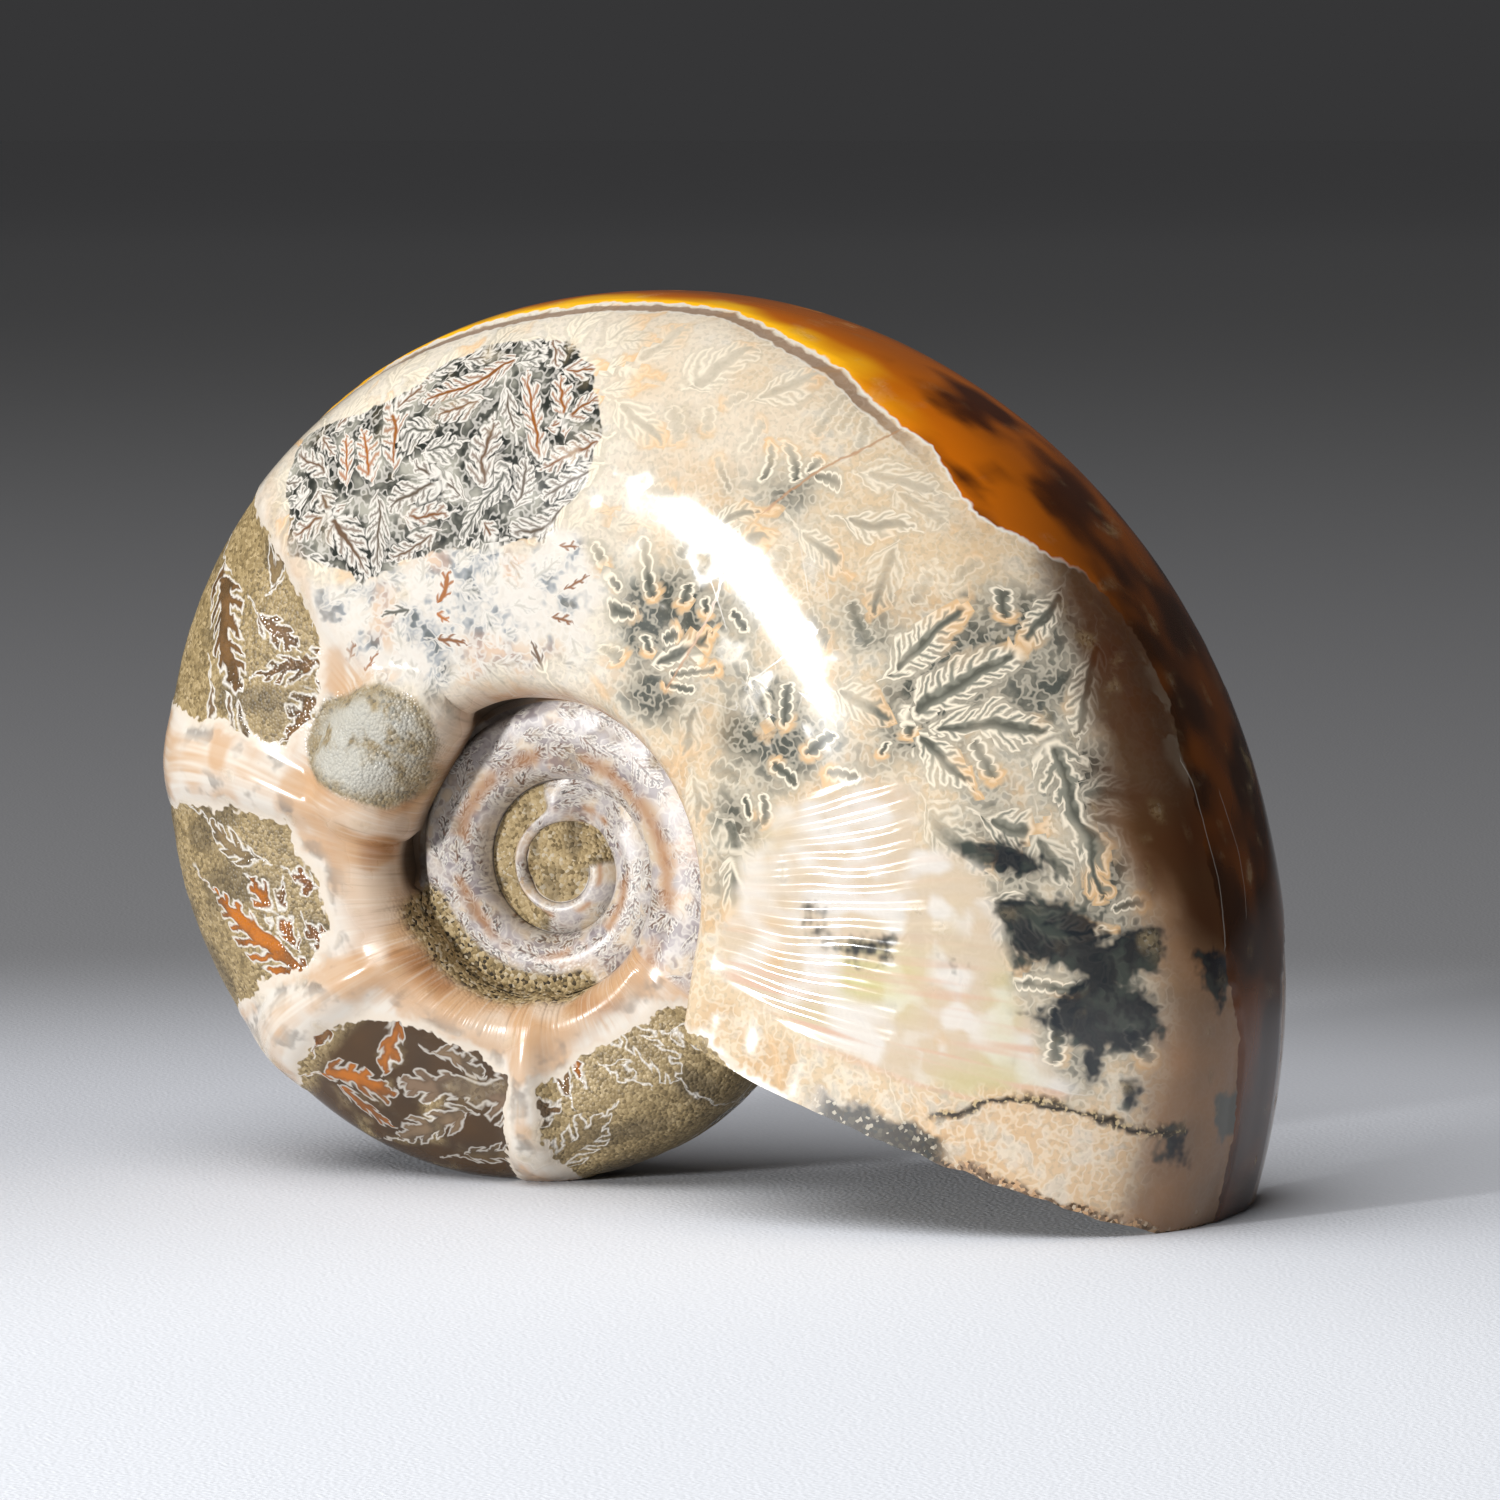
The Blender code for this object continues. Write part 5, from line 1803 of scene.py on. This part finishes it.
def flank(stone):
    """Cream translucent stone with grey leaves in it, each with a pale outline."""
    leaves, cloud = stone.leaves, stone.cloud
    near_blue = stone.step(-4.0, 0.5, stone.known("blue"))
    shade = stone.known("shade") * (cloud["2b"] + 0.5) + (cloud["4a"] - 0.5) * 0.6 + near_blue * 0.5
    plain = stone.known("plain") * (cloud["4b"] * 0.6 + 0.6)
    warm = stone.fade(*WARM_UNTIL, stone.turned + (cloud["8a"] - 0.5) * 0.8)
    colour = stone.mix(MILK, CREAM, warm * 0.7 + 0.1)
    colour = stone.mix(colour, HONEY, stone.step(0.50, 0.75, cloud["4b"]) * (warm * 0.4 + 0.15))
    mouth = stone.fade(*MOUTH_FROM, stone.turned + stone.torn * 0.08)
    mouth = mouth * stone.step(0.55, 0.70, stone.share)
    colour = stone.mix(colour, stone.mix(PEACH, HONEY, cloud["8a"]), mouth * 0.8)
    frosted = stone.step(0.50, 0.75, cloud["2a"] + stone.frayed * 0.5)
    colour = stone.mix(colour, FROST, frosted * 0.5)
    colour = stone.mix(colour, MIST, stone.step(0.0, 0.55, shade + stone.frayed * 0.7) * 0.7)
    colour = stone.mix(colour, SLATE, stone.step(0.30, 0.95, shade + stone.frayed * 0.6) * 0.9)
    colour = stone.mix(colour, stone.mix(MILK, CREAM, warm * 0.6 + 0.4), plain * 0.7)
    colour = stone.mix(colour, LEAF_GREY, stone.fade(0.36, 0.50, stone.grit) * 0.22)
    colour = stone.mix(colour, LEAF_LINE, stone.lace * (1.0 - plain * 0.6) * 0.35)
    shown = leaves.shown
    halo = stone.math("EXPONENT", stone.math("MAXIMUM", leaves.outline, 0.0) * -2.2)
    colour = stone.mix(colour, SLATE, halo * stone.step(-0.15, 0.5, shade) * shown * 0.7)
    inside = stone.fade(-0.14, -0.02, leaves.outline)
    leaf = stone.mix(LEAF_PALE, LEAF_GREY, stone.step(0.0, 0.6, shade))
    colour = stone.mix(colour, leaf, inside * shown * 0.8)
    vein = stone.bell(leaves.off_stem + stone.fine[1] * 0.7, 0.30) * inside * shown
    colour = stone.mix(colour, LEAF_VEIN, vein * (stone.step(-0.1, 0.6, shade) * 0.5 + 0.15))
    colour = stone.mix(colour, LEAF_PALE, stone.bell(leaves.outline - 0.30, 0.26) * shown * 0.55)
    tip = leaves.tipward * stone.step(0.35, 0.60, cloud["4b"])
    beside_tip = stone.bell(leaves.outline - 0.15, 0.34) * tip * shown
    colour = stone.mix(colour, AMBER_LINE, beside_tip * 0.8)
    line = stone.bell(leaves.outline + 0.03, 0.14)
    colour = stone.mix(colour, stone.mix(LEAF_LINE, AMBER_LINE, tip * 0.6), line * shown)
    return Look(stone, colour, cloud["2a"] * 0.04 + 0.05)


def dark_zone(stone):
    """The older part of the last whorl: black rock between leaves with thick white outlines."""
    leaves, cloud = stone.leaves, stone.cloud
    ground = stone.mix(INK, MIST, stone.step(0.35, 0.9, cloud["2b"] + stone.frayed * 0.6))
    heart = stone.ramp(leaves.tone, HEARTS)
    colour = stone.mix(ground, heart, stone.fade(-0.12, -0.03, leaves.outline))
    colour = stone.mix(colour, BONE, stone.lace * stone.step(0.15, 0.40, leaves.outline) * 0.55)
    colour = stone.mix(colour, BONE, stone.bell(leaves.outline - 0.02, 0.14))
    return Look(stone, colour, cloud["2a"] * 0.08 + 0.08)


def whitish_zone(stone):
    """Milky stone with blue patches and a few small brown leaves."""
    leaves, cloud = stone.leaves, stone.cloud
    colour = stone.mix(PEARL, MILK, cloud["4b"])
    colour = stone.mix(colour, CREAM, stone.step(0.5, 0.7, cloud["4a"]) * 0.6)
    uneven = stone.step(0.0, 0.5, stone.math("ABSOLUTE", stone.fine[1]))
    colour = stone.mix(colour, LEAF_GREY, uneven * 0.3)
    colour = stone.mix(colour, ICE, stone.step(0.42, 0.72, cloud["2b"] + stone.frayed * 0.8) * 0.7)
    colour = stone.mix(colour, SLATE, stone.step(0.60, 0.9, cloud["2b"] + stone.frayed * 0.8) * 0.7)
    colour = stone.mix(colour, PEARL_PINK, stone.step(0.52, 0.75, cloud["4a"]) * 0.45)
    colour = stone.mix(colour, BONE, stone.lace * 0.6)
    inside = stone.fade(-0.12, -0.02, leaves.outline)
    strong = stone.step(0.7, 0.95, leaves.shown)
    heart = stone.mix(LEAF_GREY, stone.ramp(leaves.tone, HEARTS), strong)
    colour = stone.mix(colour, heart, inside * (strong * 0.6 + 0.35))
    colour = stone.mix(colour, BONE, stone.bell(leaves.outline, 0.13) * 0.8)
    return Look(stone, colour, cloud["2a"] * 0.10 + 0.10)


def window(stone):
    """Where the shell is ground through: olive rock, with orange leaves and cream veins."""
    leaves, cloud = stone.leaves, stone.cloud
    colour = stone.sand(OLIVE_DARK, OLIVE, OLIVE_PALE, SAND)
    colour = stone.mix(colour, SOOT, stone.step(0.55, 0.75, cloud["4a"]) * 0.5)
    brown = stone.mix(UMBER, SOOT, cloud["2b"] * 0.6)
    polished = stone.known("polished")
    colour = stone.mix(colour, brown, polished)
    inside = stone.fade(-0.14, -0.04, leaves.outline)
    own = stone.step(-0.95, -0.75, leaves.tone)
    heart = stone.ramp(leaves.tone, HEARTS)
    deep = stone.mix(heart, UMBER, stone.step(-0.45, -0.10, leaves.outline) * 0.5)
    deep = stone.mix(deep, SOOT, stone.step(0.40, 0.70, cloud["2a"] + stone.frayed * 0.4) * 0.55)
    colour = stone.mix(colour, deep, inside * (own * 0.75 + 0.2))
    colour = stone.mix(colour, BONE, stone.bell(leaves.outline, 0.13) * (0.9 - polished * 0.3))
    smooth = stone.math("MAXIMUM", inside * own, polished)
    return Look(stone, colour, stone.blend(0.45, 0.10, smooth))


def old_shell(stone):
    """The shell left on the older whorl: white and tan, streaked from the umbilicus outwards."""
    cloud = stone.cloud
    tan = stone.step(0.30, 0.70, stone.streaks + (cloud["4a"] - 0.5) * 0.5) * 0.8
    colour = stone.mix(SHELL_WHITE, SHELL_TAN, tan)
    inward = stone.fade(0.50, 0.66, stone.share)
    colour = stone.mix(colour, WALL_ORANGE, inward * stone.step(0.35, 0.65, cloud["2b"]) * 0.5)
    frosted = stone.step(-4.5, -0.6, stone.known("window") + stone.torn * 5.0)
    colour = stone.mix(colour, SHELL_FROST, frosted * 0.85)
    colour = stone.mix(colour, SHELL_TAN, stone.step(0.50, 0.66, cloud["4b"]) * 0.7)
    stained = stone.step(0.50, 0.72, cloud["2b"] + stone.frayed * 0.6)
    colour = stone.mix(colour, STAIN, frosted * stained * 0.7)
    return Look(stone, colour, cloud["2a"] * 0.12 + 0.12)


def umbilical_wall(stone):
    """The wall around the umbilicus: tan, streaked white and brown along the growth lines."""
    tan = stone.mix(WALL_ORANGE, SHELL_TAN, stone.step(0.3, 0.7, stone.cloud["4b"]))
    colour = stone.mix(tan, SHELL_WHITE, stone.step(0.50, 0.80, stone.streaks) * 0.45)
    colour = stone.mix(colour, SHELL_WHITE, stone.step(0.50, 0.66, stone.cloud["4a"]) * 0.5)
    colour = stone.mix(colour, UMBER, stone.fade(0.20, 0.45, stone.streaks) * 0.35)
    return Look(stone, colour, stone.cloud["2a"] * 0.2 + 0.2)


def inner_whorls(stone):
    """The small whorls in the umbilicus: milky, with plum-coloured leaves and tan rims."""
    leaves, cloud = stone.leaves, stone.cloud
    colour = stone.mix(LILAC, PEARL_WARM, stone.step(0.4, 0.7, cloud["2b"]))
    colour = stone.mix(colour, SHELL_TAN, stone.step(0.58, 0.75, cloud["4b"]) * 0.6)
    mauve = stone.step(0.42, 0.70, cloud["2a"] + stone.frayed * 0.9)
    colour = stone.mix(colour, MAUVE, mauve * 0.7)
    spotted = stone.step(0.35, 0.55, cloud["2a"])
    inside = stone.fade(-0.07, 0.0, leaves.outline)
    colour = stone.mix(colour, PLUM, stone.fade(0.0, 0.25, leaves.outline) * spotted * 0.8)
    colour = stone.mix(colour, stone.mix(RUST, SLATE, leaves.luck), inside * spotted * 0.6)
    rimmed = stone.bell(leaves.outline - 0.02, 0.07)
    colour = stone.mix(colour, BONE, rimmed * (spotted * 0.6 + 0.25))
    colour = stone.mix(colour, SHELL_FROST, stone.lace * 0.4)
    rim = stone.bell(stone.row - 0.50, 0.08) * stone.step(0.35, 0.6, cloud["2b"])
    colour = stone.mix(colour, WALL_ORANGE, rim * 0.75)
    return Look(stone, colour, cloud["2b"] * 0.14 + 0.30)


def pearl(stone):
    """Mother-of-pearl: faint greens, pinks and oranges that follow the growth lines."""
    cloud = stone.cloud
    colour = stone.mix(PEARL_WARM, PEARL, stone.step(0.4, 0.7, cloud["2b"]))
    tinted = stone.fade(*PEARL_TINTS, stone.turned) * 0.8 + 0.15
    colour = stone.mix(colour, PEARL_GREEN, stone.step(0.45, 0.75, cloud["8a"]) * tinted)
    colour = stone.mix(colour, PEARL_PINK, stone.step(0.5, 0.7, stone.streaks) * tinted)
    colour = stone.mix(colour, PEARL_ORANGE, stone.step(0.6, 0.8, cloud["4b"]) * tinted)
    return Look(stone, colour, stone.streaks * 0.10 + 0.05)


def midnight(stone):
    """The blue-black mineral patches."""
    greyer = stone.step(0.45, 0.8, stone.cloud["2b"] + stone.frayed * 0.8)
    colour = stone.mix(MIDNIGHT, SLATE, greyer)
    return Look(stone, colour, stone.grit * 0.1 + 0.06)


def amber(stone):
    """The venter's deep brown stone: golden along its edge towards the top, partly as painted
    light, and darker towards the aperture.
    """
    wave = stone.cloud["4a"]
    depth = stone.known("amber") + (wave - 0.5) * 2.0
    streaks = stone.known("flow")
    warm = streaks - stone.step(6.0, 14.0, depth) * 0.20
    warm = warm + stone.step(*CARAMEL_FROM, stone.turned) * 0.30
    colour = stone.mix(TREACLE, CARAMEL, stone.step(0.35, 0.65, warm))
    # Gold along the edge towards the top of the venter: partly the amber's own gold, partly painted
    # light.
    gold_and_light = stone.fade(1.0, 4.0, depth + (streaks - 0.5) * 5.0)
    gold_and_light = gold_and_light * stone.step(*GOLD_AND_LIGHT_FROM, stone.turned)
    colour = stone.mix(colour, GOLD, gold_and_light)
    colour = stone.mix(colour, SMOKE_DARK, stone.fade(*SMOKE_UNTIL, stone.turned) * 0.75)
    return Look(stone, colour, wave * 0.06 + 0.05)


def fossil_material():
    """The whole surface. Each group of looks goes over the ones before it."""
    stone = Stone("polished_fossil")
    look = flank(stone)
    zones = (flank_zones, older_half, umbilicus, minerals, venter)
    for group in (*zones, drawn_lines, broken_rim, rocks):
        look = group(stone, look)
    finish_surface(stone, look)
    return stone.material


def flank_zones(stone, look):
    """The zones of the last whorl: its brown margin, the milky zone and the dark one."""
    tan = stone.step(-3.0, 2.0, stone.zone("tan", 2.5))
    look = look.coat(stone.mix(TAN_STONE, TAUPE, stone.cloud["4b"]), GLOSSY, tan * 0.9)
    smoky = stone.step(-2.6, 2.0, stone.zone("smoky", 2.5) + (stone.cloud["8a"] - 0.5) * 3.0)
    look = look.coat(stone.mix(SMOKE, TREACLE, stone.cloud["4b"]), 0.08, smoky * 0.95)
    look = look.under(whitish_zone(stone), stone.step(-1.0, 1.0, stone.zone("whitish", 3.5)))
    return look.under(dark_zone(stone), stone.step(-0.12, 0.12, stone.zone("dark", 1.1, 0.9)))


def older_half(stone, look):
    """The older half of the whorl: its shell, and the windows ground through it."""
    look = look.under(old_shell(stone), stone.step(*OLD_SHELL_FROM, stone.turned))
    depth = stone.zone("window", 1.6, 1.8)
    look = look.coat(SHELL_WHITE, SATIN, stone.bell(depth, 0.8))
    return look.under(window(stone), stone.step(0.1, 0.3, depth))


def umbilicus(stone, look):
    """The wall, the small whorls inside it, and painted shade darkening the seams, the gap beside
    the wall and the pit by the core.
    """
    inner = stone.step(0.995, 1.005, stone.whorl)
    narrower = stone.fade(*WALL_NARROWS, stone.turned) * 0.16
    wall = stone.step(0.42, 0.60, stone.row - narrower + stone.torn * 0.2) * (1.0 - inner)
    look = look.under(umbilical_wall(stone), wall)
    look = look.under(inner_whorls(stone), inner)
    # Painted shade: soot-dark colour at the foot of the wall, where it meets the next whorl.
    painted_crevice_shade = stone.step(0.93, 1.0, stone.row) * (1.0 - stone.known("core"))
    look = look.coat(SOOT, 0.7, painted_crevice_shade * 0.8)
    # Painted shadow: soot and umber in the sunk gap beside the wall and in the pit by the core.
    return look.coat(stone.mix(SOOT, UMBER, stone.cloud["2b"]), 0.8, stone.known("gap") * 0.9)


def minerals(stone, look):
    """Mother-of-pearl, and the patches of dark, teal and clear mineral."""
    look = look.under(pearl(stone), stone.step(-0.5, 1.4, stone.zone("nacre", 2.0)) * 0.9)
    look = look.under(midnight(stone), stone.step(-0.7, 0.7, stone.zone("blue", 2.6, 2.6)) * 0.95)
    look = look.coat(TEAL, 0.15, stone.step(-0.5, 0.5, stone.zone("teal", 2.0, 1.0)) * 0.8)
    crystals = stone.step(0.42, 0.52, stone.cloud["2b"] + stone.frayed * 0.3) * 0.4
    calcite = stone.step(-0.6, 0.8, stone.zone("calcite", 3.0)) * crystals
    return look.coat(stone.mix(LEAF_GREY, TAUPE, stone.cloud["2b"]), SATIN, calcite)


def venter(stone, look):
    """The amber along the venter, with a pale line and a brown bevel beside it."""
    band = stone.zone("amber", 0.6, 0.8)
    bevelled = stone.step(*BEVEL_FROM, stone.turned) * stone.fade(*BEVEL_UNTIL, stone.turned)
    bevel = stone.between((-1.7, -1.4), (-0.5, -0.2), band) * bevelled
    look = look.coat(BEVEL, 0.15, bevel * 0.75)
    look = look.coat(BONE, SATIN, stone.bell(band + 1.65, 0.12) * bevelled * 0.6)
    shown = stone.step(-0.1, 0.1, band) * stone.fade(*AMBER_UNTIL, stone.turned)
    look = look.under(amber(stone), shown)
    edged = stone.step(*EDGE_FROM, stone.turned) * stone.fade(*EDGE_UNTIL, stone.turned)
    return look.coat(BONE, SATIN, stone.bell(band, 0.14) * edged)


def drawn_lines(stone, look):
    """The dark mineral seam near the aperture, the healed cracks and the scratches."""
    thin = stone.known("mineral") / (stone.step(0.35, 0.65, stone.cloud["2b"]) * 0.9 + 0.4)
    seam = stone.bell(thin + stone.frayed * 1.2, 0.4) * stone.known("by_mineral")
    look = look.coat(stone.mix(SOOT, SAND, stone.step(0.5, 0.65, stone.grit)), 0.3, seam)
    crack = stone.bell(stone.known("crack") + stone.frayed * 0.5, 0.12) * stone.known("by_crack")
    look = look.coat(WALL_ORANGE, 0.4, crack * 0.8)
    scratch = stone.bell(stone.known("white_line") + stone.frayed * 0.1, 0.06)
    return look.coat(BONE, 0.3, scratch * stone.known("by_white_line") * 0.35)


def broken_rim(stone, look):
    """The chipped edge of the aperture, speckled with dark rock in its middle."""
    ragged = stone.zone("rim", 1.6, 1.4)
    chipped = stone.fade(0.4, 0.9, ragged) * stone.step(0.66, 0.72, stone.share)
    look = look.coat(stone.sand(UMBER, TAUPE, SHELL_TAN, CHALK), 0.6, chipped)
    dark_lip = stone.between((0.50, 0.55), (0.69, 0.73), stone.share)
    speckled = stone.fade(1.4, 2.4, ragged + stone.torn) * dark_lip
    return look.coat(stone.sand(INK, SOOT, ROCK_DARK, CHALK), 0.4, speckled)


def rocks(stone, look):
    """The rock in the seam, in the lump, in the core and behind the aperture."""
    cloud, frayed = stone.cloud, stone.frayed
    fill = stone.step(0.25, 0.6, stone.known("fill"))
    look = look.coat(stone.sand(SOOT, OLIVE, SAND, CHALK), MATT, fill)
    # Pale grey patches over the lump's middle: partly its paler rock, partly a painted highlight.
    on_lump = stone.step(0.2, 2.0, stone.known("lump"))
    pale_and_highlit = stone.step(0.30, 0.50, cloud["2b"] + frayed * 0.4) * on_lump
    colour = stone.mix(stone.sand(ROCK_DARK, OLIVE, ROCK_PALE, CHALK), ROCK_PALE, 0.4)
    colour = stone.mix(colour, LUMP_GREY, pale_and_highlit * 0.8)
    lumpy = stone.step(-0.4, 0.4, stone.zone("lump", 1.2))
    look = look.coat(colour, cloud["4a"] * 0.5 + 0.2, lumpy)
    # Soot-dark patches at random over the core's sandstone.
    soot_patches = stone.step(0.5, 0.7, cloud["2b"]) * 0.5
    colour = stone.mix(stone.sand(OLIVE_DARK, OLIVE_PALE, SAND, CHALK), SOOT, soot_patches)
    look = look.coat(colour, MATT, stone.step(0.03, 0.20, stone.zone("core", 0.3)))
    broken = stone.known("broken")
    look = look.coat(LIP, 0.6, stone.step(0.0, 0.3, broken))
    colour = stone.sand(SOOT, ROCK_DARK, ROCK_PALE, CHALK)
    return look.coat(colour, MATT, stone.step(0.7, 1.0, broken))


def finish_surface(stone, look):
    """The shader: the looks' colour and roughness, and a bump for sand grains and shell fibres."""
    surface = stone.surface
    stone.plug(surface.inputs["Base Color"], look.colour)
    stone.plug(surface.inputs["Roughness"], look.roughness)
    surface.inputs["IOR"].default_value = STONE_IOR
    height = stone.known("rocky") * (0.5 - stone.grain) * GRAIN_BUMP
    height = height + stone.known("fibrous") * stone.streaks * FIBRE_BUMP
    stone.add_bump(height, MM)


# The stone's polish, and the height of its sand grains and shell fibres in millimetres
STONE_IOR = 1.50
GRAIN_BUMP = 0.15
FIBRE_BUMP = 0.06

# The floor: a painted pool of light, pale around a place in front of the fossil, and painted shade
# greyer away from it; white far off
FLOOR_HALF = 40.0
LIGHT_POOL_CENTRE = (0.045, -0.127)
FLOOR_PALE = paint(240, 243, 249)
FLOOR_SOFT = paint(202, 204, 210)
FLOOR_SHADE_GREY = paint(132, 132, 134)
FLOOR_FAR = paint(250, 250, 250)
SOFT_FROM = (60.0, 190.0)  # millimetres from that place, as are the next two
SHADE_GREY_FROM = (190.0, 340.0)
FAR_FROM = (500.0, 5000.0)
FLOOR_ROUGHNESS = 0.9
FLOOR_SPECULAR = 0.1
FLOOR_GRAIN_SIZE = 0.4  # millimetres
FLOOR_GRAIN_HEIGHT = 0.05 * MM

# The grey around, and the lights: azimuth, elevation, distance, width and height, and watts
WORLD_GREY = paint(54, 54, 55)
KEY_LIGHT = (-25.0, 7.0, 1.1, (0.07, 0.15), 10.8)
OVERHEAD_LIGHT = (-30.0, 68.0, 1.3, (1.5, 1.5), 18.2)
OBJECT_MIDDLE = Vector((0.0, 0.0, 0.045))  # the place that they face


def main():
    add_camera(Vector((COIL_AXIS_X, 0.0, FLOOR_DROP)))
    set_world()
    add_floor()
    add_light("key", *KEY_LIGHT)
    add_light("overhead", *OVERHEAD_LIGHT, mirrored=False)
    add_ammonite()


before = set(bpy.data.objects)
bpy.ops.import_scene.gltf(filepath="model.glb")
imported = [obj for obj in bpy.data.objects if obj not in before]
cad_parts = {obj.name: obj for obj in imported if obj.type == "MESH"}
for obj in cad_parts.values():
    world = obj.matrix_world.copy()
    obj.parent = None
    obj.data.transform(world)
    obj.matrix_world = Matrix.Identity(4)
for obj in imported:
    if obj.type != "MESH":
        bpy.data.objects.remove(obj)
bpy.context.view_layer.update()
main()
